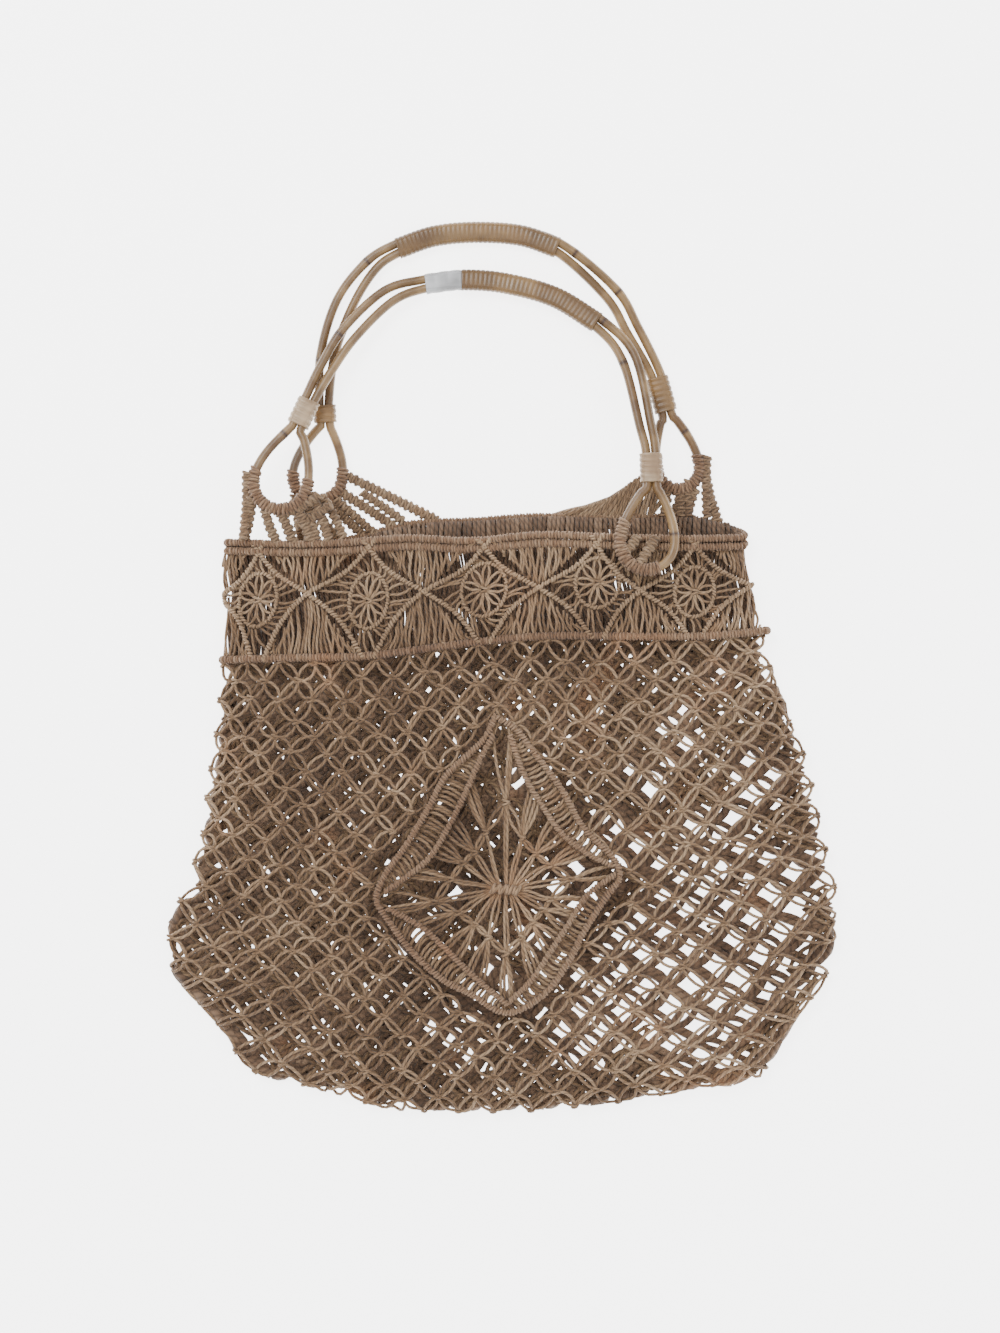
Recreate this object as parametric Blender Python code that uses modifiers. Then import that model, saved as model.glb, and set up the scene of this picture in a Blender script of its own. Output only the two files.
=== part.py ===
"""Sisal macrame tote bag with two rattan cane handles, lying on its back wall.

The bag lies as it is laid down empty: the back wall flat on the surface, the front wall
a little above it, and both handles folded out past the mouth. +X runs across the bag,
+Y from the base towards the handles and +Z up from the surface. The origin is at the
centre of the whole bag on the surface. Every piece is a closed solid of its own.
"""

import math
from collections import namedtuple

import bmesh
import bpy
from mathutils import Vector

# Driving sizes of the bag, in metres
BODY_WIDTH = 0.420        # greatest width, near the base
BODY_HEIGHT = 0.355       # from the front rim to the base
BAND_HEIGHT = 0.065       # from the rim to the bar under the patterned band
BODY_LOFT = 0.0235        # front wall above the back wall, at the middle of the body
MOUTH_LOFT = 0.0200       # front wall above the back wall, at the mouth
EDGE_LOFT = 0.0090        # height of the fold along the sides and the base
WALL = 0.0030             # thickness of the knotted net
BAR_DIAMETER = 0.0047     # the hitched bars round the mouth and under the band
MOUTH_STEP = 0.0136       # how far the back rim reaches beyond the front rim
RIM_WAVE = 0.0043         # how far the rim wanders up and down
RIDGE_DIAMETER = 0.0043   # the raised ridges of the diamond on the front
CENTRE_WRAP_LENGTH = 0.0155
CENTRE_WRAP_DIAMETER = 0.0060

# Driving sizes of the handles, in metres
HANDLE_WIDTH = 0.212      # between the middles of a handle's two collars
HANDLE_REACH = 0.1931     # from the front rim to the middle of the back handle's grip
CANE_DIAMETER = 0.0056
EYE_WIDTH = 0.0310        # width of the open eye under a collar, between cane middles
GRIP_WRAP = 0.0009        # thickness of the binding round the grips
COLLAR_WRAP = 0.0014      # thickness of the binding round the collars
EYE_WRAP = 0.0018         # thickness of the cord wound round the eyes
SINNET_WIDTH = 0.0052     # the flat knotted straps between eyes and rim
SINNET_THICKNESS = 0.0026

# Clearances, in metres
GAP = 0.0003              # between pieces that touch
BAR_GAP = 0.0005          # between neighbouring bars and walls round the mouth
SEAT = 0.0005             # between a strap or handle and what carries it
BEND_ROOM = 0.0020        # from the end of a binding to the bend where its canes part
RIM_BOW = 0.0003          # how far the rim bar bends across the end of a strap

# Counts of the net, the band and the bars
NET_COLUMNS = 7
NET_HALF_ROWS = 10
BAND_MOTIFS = 5
BAR_STEPS = 20
EDGE_SPLITS = 3
ROUND_SIDES = 8
CANE_RINGS = 2
BAR_RINGS = 1

# The gaps of the net, as shares of their cell
GAP_TO_KNOT = 0.56
GAP_TO_STRAND = 0.74
BAND_GAP_WIDTH = 0.50
BAND_GAP_HEIGHT = 0.52

BAR_RADIUS = BAR_DIAMETER / 2
CANE_RADIUS = CANE_DIAMETER / 2
EYE_WRAP_RADIUS = CANE_RADIUS + GAP + EYE_WRAP
GRIP_HALF_WIDTH = CANE_DIAMETER + GAP * 1.5 + GRIP_WRAP
RIM_Y = (BODY_HEIGHT - HANDLE_REACH - GRIP_HALF_WIDTH) / 2
WAIST_DOWN = BAND_HEIGHT / BODY_HEIGHT
BACK_HANDLE_Z = EYE_WRAP_RADIUS

# Sides of the body: down is a share of BODY_HEIGHT, left and right of BODY_WIDTH
Side = namedtuple("Side", "down left right")
SIDES = (
    Side(0.000, 0.401, 0.359),
    Side(0.050, 0.411, 0.364),
    Side(0.100, 0.402, 0.378),
    Side(0.180, 0.408, 0.392),
    Side(0.310, 0.418, 0.428),
    Side(0.400, 0.429, 0.458),
    Side(0.500, 0.441, 0.474),
    Side(0.590, 0.460, 0.494),
    Side(0.640, 0.480, 0.497),
    Side(0.690, 0.495, 0.496),
    Side(0.735, 0.493, 0.490),
    Side(0.780, 0.468, 0.474),
    Side(0.840, 0.420, 0.436),
    Side(0.914, 0.381, 0.402),
)
CORNER_DOWN = SIDES[-1].down

# Base of the body: across runs from -1 to 1, down is a share of BODY_HEIGHT
Base = namedtuple("Base", "across down")
BASE = (
    Base(-1.00, CORNER_DOWN),
    Base(-0.90, 0.940),
    Base(-0.65, 0.965),
    Base(-0.50, 0.988),
    Base(-0.25, 0.996),
    Base(0.05, 0.996),
    Base(0.30, 0.988),
    Base(0.55, 0.970),
    Base(0.72, 0.958),
    Base(0.86, 0.962),
    Base(0.95, 0.940),
    Base(1.00, CORNER_DOWN),
)

# Lines of the bars: across runs from -1 to 1, front and waist are shares of RIM_WAVE above
# the mean line, and back is the share of MOUTH_STEP that the back rim stands beyond it
Rim = namedtuple("Rim", "across front waist back")
RIMS = (
    Rim(-1.00, -0.10, -1.95, 0.00),
    Rim(-0.70, -0.45, -1.60, 0.05),
    Rim(-0.50, -0.10, -1.50, 0.25),
    Rim(-0.30, 0.45, -0.60, 0.70),
    Rim(-0.05, 0.00, 0.70, 0.98),
    Rim(0.20, 0.90, 1.50, 0.90),
    Rim(0.50, 0.55, 1.40, 0.92),
    Rim(0.80, 0.35, 1.50, 1.00),
    Rim(1.00, 0.60, 2.30, 0.25),
)

# Soft folds of the front wall: across and down are net shares, turn is in degrees, and
# length, width and height are shares of BODY_WIDTH, BODY_WIDTH and BODY_LOFT
Fold = namedtuple("Fold", "across down turn length width height")
FOLDS = (
    Fold(-0.78, 0.35, 84, 0.22, 0.030, 0.10),
    Fold(0.74, 0.42, 98, 0.20, 0.030, 0.10),
    Fold(0.70, 0.86, 35, 0.10, 0.040, 0.18),
    Fold(-0.62, 0.86, 145, 0.10, 0.035, 0.12),
)

# The diamond on the front: across and down are net shares of each corner, and bow is how
# far the side that follows swells outwards, as a share of its length
Corner = namedtuple("Corner", "across down bow")
OUTER_DIAMOND = (
    Corner(-0.020, 0.162, 0.05),
    Corner(-0.400, 0.535, 0.12),
    Corner(0.000, 0.780, 0.12),
    Corner(0.335, 0.520, 0.06),
)
INNER_DIAMOND = (
    Corner(-0.010, 0.225, 0.02),
    Corner(-0.340, 0.535, 0.07),
    Corner(0.000, 0.735, 0.08),
    Corner(0.285, 0.510, 0.02),
)
DIAMOND_CENTRE = Corner(-0.010, 0.530, 0.0)
DIAMOND_SIDE_STEPS = 5

# Middle line of each double cane from the left collar to the right one: across is a share
# of HANDLE_WIDTH, up of HANDLE_REACH, and part is how far the canes stand apart beyond
# touching, as a share of CANE_DIAMETER
Arch = namedtuple("Arch", "across up part")
BACK_ARCH = (
    Arch(-0.513, 0.376, 0.00),
    Arch(-0.517, 0.452, 0.00),
    Arch(-0.506, 0.608, 0.25),
    Arch(-0.457, 0.770, 0.40),
    Arch(-0.383, 0.888, 0.14),
    Arch(-0.310, 0.944, 0.00),
    Arch(-0.195, 0.987, 0.00),
    Arch(-0.073, 1.000, 0.00),
    Arch(0.060, 0.990, 0.00),
    Arch(0.178, 0.947, 0.00),
    Arch(0.327, 0.803, 0.18),
    Arch(0.390, 0.684, 0.16),
    Arch(0.458, 0.541, 0.00),
    Arch(0.491, 0.412, 0.00),
)
FRONT_ARCH = (
    Arch(-0.594, 0.363, 0.00),
    Arch(-0.553, 0.461, 0.00),
    Arch(-0.509, 0.555, 0.14),
    Arch(-0.441, 0.671, 0.30),
    Arch(-0.330, 0.790, 0.24),
    Arch(-0.228, 0.830, 0.00),
    Arch(-0.110, 0.845, 0.00),
    Arch(0.015, 0.834, 0.00),
    Arch(0.160, 0.789, 0.00),
    Arch(0.292, 0.700, 0.00),
    Arch(0.377, 0.588, 0.22),
    Arch(0.424, 0.372, 0.10),
    Arch(0.439, 0.289, 0.00),
    Arch(0.442, 0.177, 0.00),
)
GRIP_ROWS = (5, 9)
CROSSING_UP = 0.700       # where the front handle lies on the back one
FRONT_EYE_DOWN = -0.010   # where the front handle lies on the rim

# Eyes: the far end of each, in shares of HANDLE_WIDTH and HANDLE_REACH, and the share of
# EYE_WIDTH that it is wide
Eye = namedtuple("Eye", "across up wide")
EYES = {
    ("back", "left"): Eye(-0.547, 0.135, 1.00),
    ("back", "right"): Eye(0.538, 0.172, 0.86),
    ("front", "left"): Eye(-0.661, 0.103, 1.08),
    ("front", "right"): Eye(0.421, -0.093, 1.08),
}
EYE_LEG_STEPS = 2
EYE_ARC_STEPS = 5
ARCHES = {"back": BACK_ARCH, "front": FRONT_ARCH}

# Knotted straps: around is the share of the eye from its left leg to its right one, way is
# 1 where the strap leaves the eye outwards and -1 inwards, across is the rim's share
Sinnet = namedtuple("Sinnet", "name handle eye around way across")
SINNETS = (
    Sinnet("sinnet_front_left_1", "front", "left", 0.400, 1, -0.941),
    Sinnet("sinnet_front_left_2", "front", "left", 0.475, 1, -0.813),
    Sinnet("sinnet_front_left_3", "front", "left", 0.540, 1, -0.747),
    Sinnet("sinnet_front_left_4", "front", "left", 0.610, 1, -0.676),
    Sinnet("sinnet_front_left_5", "front", "left", 0.690, 1, -0.606),
    Sinnet("sinnet_front_right_1", "front", "right", 0.36, -1, 0.585),
    Sinnet("sinnet_front_right_2", "front", "right", 0.47, -1, 0.655),
    Sinnet("sinnet_back_left_1", "back", "left", 0.720, 1, -0.197),
    Sinnet("sinnet_back_left_2", "back", "left", 0.640, 1, -0.361),
    Sinnet("sinnet_back_left_3", "back", "left", 0.570, 1, -0.480),
    Sinnet("sinnet_back_left_4", "back", "left", 0.490, 1, -0.575),
    Sinnet("sinnet_back_left_5", "back", "left", 0.410, 1, -0.720),
    Sinnet("sinnet_back_right_1", "back", "right", 0.48, 1, 0.725),
    Sinnet("sinnet_back_right_2", "back", "right", 0.555, 1, 0.785),
    Sinnet("sinnet_back_right_3", "back", "right", 0.65, 1, 0.905),
)

# Upper edge of the woven gusset: across and up are shares of HANDLE_WIDTH and HANDLE_REACH
Edge = namedtuple("Edge", "across up")
GUSSET_EDGE = (
    Edge(0.395, 0.196),
    Edge(0.330, 0.145),
    Edge(0.231, 0.105),
)
GUSSET_AROUND = (0.28, 0.32, 0.36, 0.40, 0.43)
GUSSET_RIM = (0.640, 0.560, 0.450, 0.340, 0.240)

Finish = namedtuple("Finish", "colour roughness")
SISAL = Finish((0.29, 0.20, 0.14, 1.0), 0.90)
SISAL_DARK = Finish((0.23, 0.16, 0.11, 1.0), 0.90)
RATTAN = Finish((0.55, 0.38, 0.22, 1.0), 0.45)
BINDING = Finish((0.52, 0.38, 0.25, 1.0), 0.60)


def clear_scene():
    """Remove every object and leave two empty collections for the bag."""
    for thing in list(bpy.data.objects):
        bpy.data.objects.remove(thing, do_unlink=True)


def make_collection(name):
    """A collection linked to the scene."""
    collection = bpy.data.collections.new(name)
    bpy.context.scene.collection.children.link(collection)
    return collection


def make_material(name, finish):
    """A Principled material of one colour and roughness."""
    material = bpy.data.materials.new(name)
    material.use_nodes = True
    shader = material.node_tree.nodes["Principled BSDF"]
    shader.inputs["Base Color"].default_value = finish.colour
    shader.inputs["Roughness"].default_value = finish.roughness
    shader.inputs["Metallic"].default_value = 0.0
    return material


def read_table(rows, key, column, at):
    """Value of a column at a key, on a smooth curve through the table's rows."""
    keys = [getattr(row, key) for row in rows]
    values = [getattr(row, column) for row in rows]
    at = min(max(at, keys[0]), keys[-1])
    last = len(keys) - 1
    i = 0
    while i < last - 1 and at > keys[i + 1]:
        i += 1

    def slope(j):
        low = max(j - 1, 0)
        high = min(j + 1, last)
        return (values[high] - values[low]) / (keys[high] - keys[low])

    span = keys[i + 1] - keys[i]
    t = (at - keys[i]) / span
    return (
        values[i] * (2 * t ** 3 - 3 * t ** 2 + 1)
        + values[i + 1] * (3 * t ** 2 - 2 * t ** 3)
        + slope(i) * span * (t ** 3 - 2 * t ** 2 + t)
        + slope(i + 1) * span * (t ** 3 - t ** 2)
    )


def side_x(down, across):
    """Place across the body, from -1 at its left fold to 1 at its right one."""
    left = -read_table(SIDES, "down", "left", down) * BODY_WIDTH
    right = read_table(SIDES, "down", "right", down) * BODY_WIDTH
    return left + (right - left) * (across + 1) / 2


def bar_grid(across, value):
    """Straight stretches between the bars' own steps, so that neighbours stay parallel."""
    place = (across + 1) / 2 * BAR_STEPS
    step = min(int(place), BAR_STEPS - 1)
    low = value(2 * step / BAR_STEPS - 1)
    high = value(2 * (step + 1) / BAR_STEPS - 1)
    return low + (high - low) * (place - step)


def rim_y(across, layer):
    """Height along the bag of the upper rim bar on the front or the back wall."""
    def line(a):
        wave = RIM_WAVE * read_table(RIMS, "across", "front", a)
        if layer == "front":
            return RIM_Y + wave
        return RIM_Y + wave + MOUTH_STEP * read_table(RIMS, "across", "back", a)
    return bar_grid(across, line)


def waist_y(across):
    """Height along the bag of the bar under the band."""
    def line(a):
        return RIM_Y - BAND_HEIGHT + RIM_WAVE * read_table(RIMS, "across", "waist", a)
    return bar_grid(across, line)


def front_bulge(across, loft):
    """Height of the front wall above the back one, round at the folds."""
    def line(a):
        return EDGE_LOFT + (loft - EDGE_LOFT) * (1 - abs(a) ** 5)
    return bar_grid(across, line)


def ring_point(across, layer, share, drop, base_z):
    """Point of the mouth: share runs from 0 at the rim to 1 at the waist."""
    loft = MOUTH_LOFT + (BODY_LOFT - MOUTH_LOFT) * share
    top = rim_y(across, layer)
    y = top + (waist_y(across) - top) * share - drop
    x = bar_grid(across, lambda a: side_x(share * WAIST_DOWN, a))
    z = base_z
    if layer == "front":
        z += front_bulge(across, loft)
    return Vector((x, y, z))


def net_point(across, down, layer):
    """Point of the net: across from -1 to 1, down from 0 at the waist to 1 at the base."""
    body_down = WAIST_DOWN + (CORNER_DOWN - WAIST_DOWN) * down
    below_bar = BAR_RADIUS + BAR_GAP
    top = Vector((side_x(WAIST_DOWN, across), waist_y(across) - below_bar))
    base_down = read_table(BASE, "across", "down", across)
    base = Vector((side_x(CORNER_DOWN, across), RIM_Y - BODY_HEIGHT * base_down))
    fold_y = RIM_Y - BODY_HEIGHT * body_down
    top_left = Vector((side_x(WAIST_DOWN, -1), waist_y(-1) - below_bar))
    top_right = Vector((side_x(WAIST_DOWN, 1), waist_y(1) - below_bar))
    base_y = RIM_Y - BODY_HEIGHT * CORNER_DOWN
    left_y = fold_y + (top_left.y - (RIM_Y - BAND_HEIGHT)) * (1 - down)
    right_y = fold_y + (top_right.y - (RIM_Y - BAND_HEIGHT)) * (1 - down)
    left = Vector((side_x(body_down, -1), left_y))
    right = Vector((side_x(body_down, 1), right_y))
    base_left = Vector((side_x(CORNER_DOWN, -1), base_y))
    base_right = Vector((side_x(CORNER_DOWN, 1), base_y))
    u = (across + 1) / 2
    place = top * (1 - down) + base * down + left * (1 - u) + right * u
    place -= (top_left * (1 - u) + top_right * u) * (1 - down)
    place -= (base_left * (1 - u) + base_right * u) * down
    z = WALL / 2
    if layer == "front":
        bulge = front_bulge(across, BODY_LOFT) - EDGE_LOFT
        z += EDGE_LOFT + bulge * (1 - down ** 7) + fold_height(across, down)
    return Vector((place.x, place.y, z))


def fold_height(across, down):
    """Height that the soft folds add to the front wall, nothing at its edges."""
    fade = max(0.0, (1 - across ** 6)) * max(0.0, 1 - down ** 6) * min(1.0, down * 8)
    height = 0.0
    for fold in FOLDS:
        dx = (across - fold.across) * BODY_WIDTH / 2
        dy = (down - fold.down) * (BODY_HEIGHT - BAND_HEIGHT)
        turn = math.radians(fold.turn)
        along = (dx * math.cos(turn) - dy * math.sin(turn)) / (fold.length * BODY_WIDTH)
        aside = (dx * math.sin(turn) + dy * math.cos(turn)) / (fold.width * BODY_WIDTH)
        height += fold.height * BODY_LOFT * math.exp(-along ** 2 - aside ** 2)
    return height * fade


class Surface:
    """An open surface whose shared points are found again by their keys."""

    def __init__(self):
        self.index = {}
        self.points = []
        self.faces = []

    def point(self, key, place):
        """Number of the point with this key, placed when it is first asked for."""
        if key not in self.index:
            self.index[key] = len(self.points)
            self.points.append(place)
        return self.index[key]

    def face(self, *corners):
        """Add a face between points that are already placed."""
        self.faces.append(corners)

    def solid(self, name, thickness, offset, material, collection):
        """The surface as an object with a wall of even thickness."""
        mesh = bpy.data.meshes.new(name)
        mesh.from_pydata([tuple(p) for p in self.points], [], self.faces)
        turn_faces_alike(mesh)
        mesh.shade_smooth()
        thing = place_mesh(name, mesh, material, collection)
        shell = thing.modifiers.new("wall", "SOLIDIFY")
        shell.thickness = thickness
        shell.offset = offset
        shell.use_even_offset = True
        shell.use_quality_normals = True
        mesh.set_sharp_from_angle(angle=math.radians(40))
        return thing


def turn_faces_alike(mesh):
    """Turn every face of a surface to the same side, outwards where it bends round."""
    work = bmesh.new()
    work.from_mesh(mesh)
    bmesh.ops.recalc_face_normals(work, faces=work.faces)
    centre = sum((corner.co for corner in work.verts), Vector()) / len(work.verts)
    outwards = sum(
        (face.calc_center_median() - centre).dot(face.normal) * face.calc_area()
        for face in work.faces
    )
    if outwards < 0:
        bmesh.ops.reverse_faces(work, faces=work.faces)
    work.to_mesh(mesh)
    work.free()


def place_mesh(name, mesh, material, collection):
    """An object for a mesh, in a collection and with a material."""
    mesh.materials.append(material)
    thing = bpy.data.objects.new(name, mesh)
    collection.objects.link(thing)
    return thing


def inside_diamond(across, down):
    """Whether a place of the net lies under the diamond."""
    middle = DIAMOND_CENTRE
    left, right = OUTER_DIAMOND[1], OUTER_DIAMOND[3]
    top, base = OUTER_DIAMOND[0], OUTER_DIAMOND[2]
    wide = right.across - middle.across if across > middle.across else middle.across - left.across
    tall = base.down - middle.down if down > middle.down else middle.down - top.down
    return abs(across - middle.across) / wide + abs(down - middle.down) / tall < 0.85


def add_net_layer(net, layer):
    """The front or the back wall of the net, a gap in each diamond between four knots."""
    columns, rows = NET_COLUMNS, NET_HALF_ROWS

    def spot(column, row):
        across = 2 * column / columns - 1
        key = (layer, round(column, 5), round(row, 5))
        return net.point(key, net_point(across, row / rows, layer))

    def edge_stops(start, row):
        """Points along the waist or the base, from one knot to the next."""
        stops = [start + i / EDGE_SPLITS for i in range(EDGE_SPLITS + 1)]
        if row == 0:
            bars = [round(i * columns / BAR_STEPS, 5) for i in range(BAR_STEPS + 1)]
            stops = sorted({start, start + 1} | {b for b in bars if start < b < start + 1})
        return [spot(stop, row) for stop in stops]

    for row in range(1, rows):
        first = 0.5 if row % 2 == 0 else 1.0
        count = columns if row % 2 == 0 else columns - 1
        for number in range(count):
            column = first + number
            add_cell(spot, net, column, row, layer)
        if row % 2 == 1:
            for end, step in ((0, 0.5), (columns, -0.5)):
                net.face(spot(end, row - 1), spot(end, row), spot(end + step, row))
                net.face(spot(end, row), spot(end, row + 1), spot(end + step, row))
    for column in range(columns):
        for row, inner in ((0, 1), (rows, rows - 1)):
            stops = edge_stops(column, row)
            tip = spot(column + 0.5, inner)
            for low, high in zip(stops, stops[1:]):
                net.face(low, high, tip)
    return spot, edge_stops


def add_cell(spot, net, column, row, layer):
    """One diamond cell between four knots, with its gap left open."""
    corners = [spot(column, row - 1), spot(column + 0.5, row), spot(column, row + 1),
               spot(column - 0.5, row)]
    across = 2 * column / NET_COLUMNS - 1
    if layer == "front" and inside_diamond(across, row / NET_HALF_ROWS):
        middle = spot(column, row)
        for low, high in zip(corners, corners[1:] + corners[:1]):
            net.face(low, high, middle)
        return
    ways = ((0, -1), (0.5, 0), (0, 1), (-0.5, 0))
    for i in range(4):
        here, there = ways[i], ways[(i + 1) % 4]
        near = spot(column + here[0] * GAP_TO_KNOT, row + here[1] * GAP_TO_KNOT)
        far = spot(column + there[0] * GAP_TO_KNOT, row + there[1] * GAP_TO_KNOT)
        between = spot(
            column + (here[0] + there[0]) / 2 * GAP_TO_STRAND,
            row + (here[1] + there[1]) / 2 * GAP_TO_STRAND,
        )
        start, end = corners[i], corners[(i + 1) % 4]
        net.face(start, near, between)
        net.face(start, between, end)
        net.face(end, between, far)


def make_net_body(material, collection):
    """The net from the waist down: two pierced walls, folded at the sides and the base."""
    net = Surface()
    front, front_stops = add_net_layer(net, "front")
    back, back_stops = add_net_layer(net, "back")
    for end in (0, NET_COLUMNS):
        for row in range(NET_HALF_ROWS):
            net.face(front(end, row), front(end, row + 1), back(end, row + 1), back(end, row))
    for column in range(NET_COLUMNS):
        upper = front_stops(column, NET_HALF_ROWS)
        lower = back_stops(column, NET_HALF_ROWS)
        for i in range(len(upper) - 1):
            net.face(upper[i], upper[i + 1], lower[i + 1], lower[i])
    net.solid("net_body", WALL, 0.0, material, collection)


def make_band(material, collection):
    """The patterned band between the rim and the waist, one gap for each motif."""
    band = Surface()
    steps = BAR_STEPS // BAND_MOTIFS
    top_drop = BAR_DIAMETER + BAR_GAP + BAR_RADIUS + BAR_GAP
    waist_drop = -(BAR_RADIUS + BAR_GAP)

    def spot(layer, step, share):
        across = 2 * step / BAR_STEPS - 1
        drop = top_drop * (1 - share) + waist_drop * share
        place = ring_point(across, layer, share, drop, WALL / 2)
        return band.point((layer, round(step, 4), round(share, 4)), place)

    for layer in ("front", "back"):
        for motif in range(BAND_MOTIFS):
            first = motif * steps
            rim = [spot(layer, first + i, 0.0) for i in range(steps + 1)]
            waist = [spot(layer, first + i, 1.0) for i in range(steps, -1, -1)]
            right, left = spot(layer, first + steps, 0.5), spot(layer, first, 0.5)
            loop = rim + [right] + waist + [left]
            hole = []
            middle = first + steps / 2
            for i in range(len(loop)):
                if i <= steps:
                    step, share = first + i, 0.0
                elif i == steps + 1:
                    step, share = first + steps, 0.5
                elif i <= 2 * steps + 2:
                    step, share = first + 2 * steps + 2 - i, 1.0
                else:
                    step, share = first, 0.5
                turn = math.atan2((0.5 - share) * 2, (step - middle) / (steps / 2))
                hole.append(spot(
                    layer,
                    middle + math.cos(turn) * BAND_GAP_WIDTH * steps / 2,
                    0.5 - math.sin(turn) * BAND_GAP_HEIGHT / 2,
                ))
            for i in range(len(loop)):
                j = (i + 1) % len(loop)
                band.face(loop[i], loop[j], hole[j], hole[i])
    for step in (0, BAR_STEPS):
        for high, low in ((0.0, 0.5), (0.5, 1.0)):
            band.face(spot("front", step, high), spot("front", step, low),
                      spot("back", step, low), spot("back", step, high))
    band.solid("patterned_band", WALL, 0.0, material, collection)


def ring_tube(name, points, radius, rings, material, collection):
    """A round tube that closes on itself; rings is its bevel resolution."""
    curve = bpy.data.curves.new(name, "CURVE")
    curve.dimensions = "3D"
    curve.bevel_depth = radius
    curve.bevel_resolution = rings
    spline = curve.splines.new("POLY")
    spline.points.add(len(points) - 1)
    for knot, place in zip(spline.points, points):
        knot.co = (place.x, place.y, place.z, 1.0)
    spline.use_cyclic_u = True
    curve.materials.append(material)
    thing = bpy.data.objects.new(name, curve)
    collection.objects.link(thing)
    return thing


def make_bar(name, share, drop, material, collection):
    """A hitched bar round the mouth, flat under the back wall and arched at the front."""
    points = []
    for layer, way in (("front", 1), ("back", -1)):
        for i in range(BAR_STEPS + 1):
            across = way * (2 * i / BAR_STEPS - 1)
            points.append(ring_point(across, layer, share, drop, BAR_RADIUS))
        if layer == "front":
            points.append(side_turn(1, share, drop))
    points.append(side_turn(-1, share, drop))
    return ring_tube(name, points, BAR_RADIUS, BAR_RINGS, material, collection)


def side_turn(end, share, drop):
    """The point between front and back where a bar turns round the side."""
    front = ring_point(end, "front", share, drop, BAR_RADIUS)
    back = ring_point(end, "back", share, drop, BAR_RADIUS)
    middle = (front + back) / 2
    middle.x += end * EDGE_LOFT * 0.15
    return middle


def handle_slope():
    """Height of the front handle's plane: what it rests on at the crossing and the rim."""
    crossing_y = RIM_Y + HANDLE_REACH * CROSSING_UP
    crossing_z = BACK_HANDLE_Z + CANE_DIAMETER + SEAT
    rest_y = RIM_Y + HANDLE_REACH * FRONT_EYE_DOWN
    rest_z = MOUTH_LOFT + BAR_DIAMETER + EYE_WRAP_RADIUS + SEAT
    lean = (rest_z - crossing_z) / (crossing_y - rest_y)
    return crossing_y, crossing_z, lean


def handle_point(across, up, handle):
    """Point in a handle's own plane, from shares of its width and reach."""
    x = across * HANDLE_WIDTH
    y = RIM_Y + up * HANDLE_REACH
    return raise_to_plane(Vector((x, y, 0.0)), handle)


def raise_to_plane(place, handle):
    """The same place, lifted into the plane of its handle."""
    if handle == "back":
        return Vector((place.x, place.y, BACK_HANDLE_Z))
    crossing_y, crossing_z, lean = handle_slope()
    return Vector((place.x, place.y, crossing_z + (crossing_y - place.y) * lean))


def across_of(direction):
    """Unit vector in the plan at a right angle to a direction, to its left."""
    flat = Vector((direction.x, direction.y, 0.0)).normalized()
    return Vector((-flat.y, flat.x, 0.0))


def arch_line(handle):
    """Middle points, outer canes and inner canes of a handle's double arch."""
    rows = ARCHES[handle]
    middles = [handle_point(row.across, row.up, handle) for row in rows]
    outer, inner = [], []
    for i, row in enumerate(rows):
        ahead = middles[min(i + 1, len(rows) - 1)]
        behind = middles[max(i - 1, 0)]
        if i in (0, 1):
            ahead, behind = middles[1], middles[0]
        if i in (len(rows) - 2, len(rows) - 1):
            ahead, behind = middles[-1], middles[-2]
        aside = across_of(ahead - behind)
        spread = CANE_RADIUS + GAP / 2 + row.part * CANE_DIAMETER
        outer.append(raise_to_plane(middles[i] + aside * spread, handle))
        inner.append(raise_to_plane(middles[i] - aside * spread, handle))
    return middles, outer, inner


def smooth_between(points, i):
    """Point halfway along a smooth curve from point i to the next."""
    before = points[max(i - 1, 0)]
    after = points[min(i + 2, len(points) - 1)]
    return (points[i] + points[i + 1]) * 0.5625 - (before + after) * 0.0625


def refine(points, straight):
    """The points with one more on each bend, none on the straight stretches."""
    result = []
    for i in range(len(points) - 1):
        result.append(points[i])
        if i not in straight:
            result.append(smooth_between(points, i))
    result.append(points[-1])
    return result


def eye_point(handle, side, around):
    """Point of an eye: around runs from 0 at its left leg to 1 at its right one."""
    middles, outer, inner = arch_line(handle)
    eye = EYES[handle, side]
    if side == "left":
        root, left_root, right_root = middles[0], outer[0], inner[0]
    else:
        root, left_root, right_root = middles[-1], inner[-1], outer[-1]
    tip = handle_point(eye.across, eye.up, handle)
    axis = tip - root
    axis.z = 0.0
    length = axis.length
    axis.normalize()
    aside = across_of(axis)
    half = eye.wide * EYE_WIDTH / 2
    leg = length - half
    centre = root + axis * leg
    leg_share = 0.3
    if around < leg_share or around > 1 - leg_share:
        near = around if around < leg_share else 1 - around
        share = near / leg_share
        start = left_root if around < leg_share else right_root
        way = -1 if around < leg_share else 1
        start_aside = (start - root).dot(aside)
        wide = start_aside + (way * half - start_aside) * math.sin(share * math.pi / 2)
        place = root + axis * leg * share + aside * wide
    else:
        turn = math.pi * (around - leg_share) / (1 - 2 * leg_share)
        place = centre - aside * half * math.cos(turn) + axis * half * math.sin(turn)
    return raise_to_plane(place, handle)


def eye_places():
    """Places round an eye at which the cane and its winding have their points."""
    leg_share = 0.3
    leg = [leg_share * (i + 1) / (EYE_LEG_STEPS + 1) for i in range(EYE_LEG_STEPS)]
    arc = [leg_share + (1 - 2 * leg_share) * i / EYE_ARC_STEPS for i in range(EYE_ARC_STEPS + 1)]
    return leg + arc + [1 - place for place in reversed(leg)]


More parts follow.
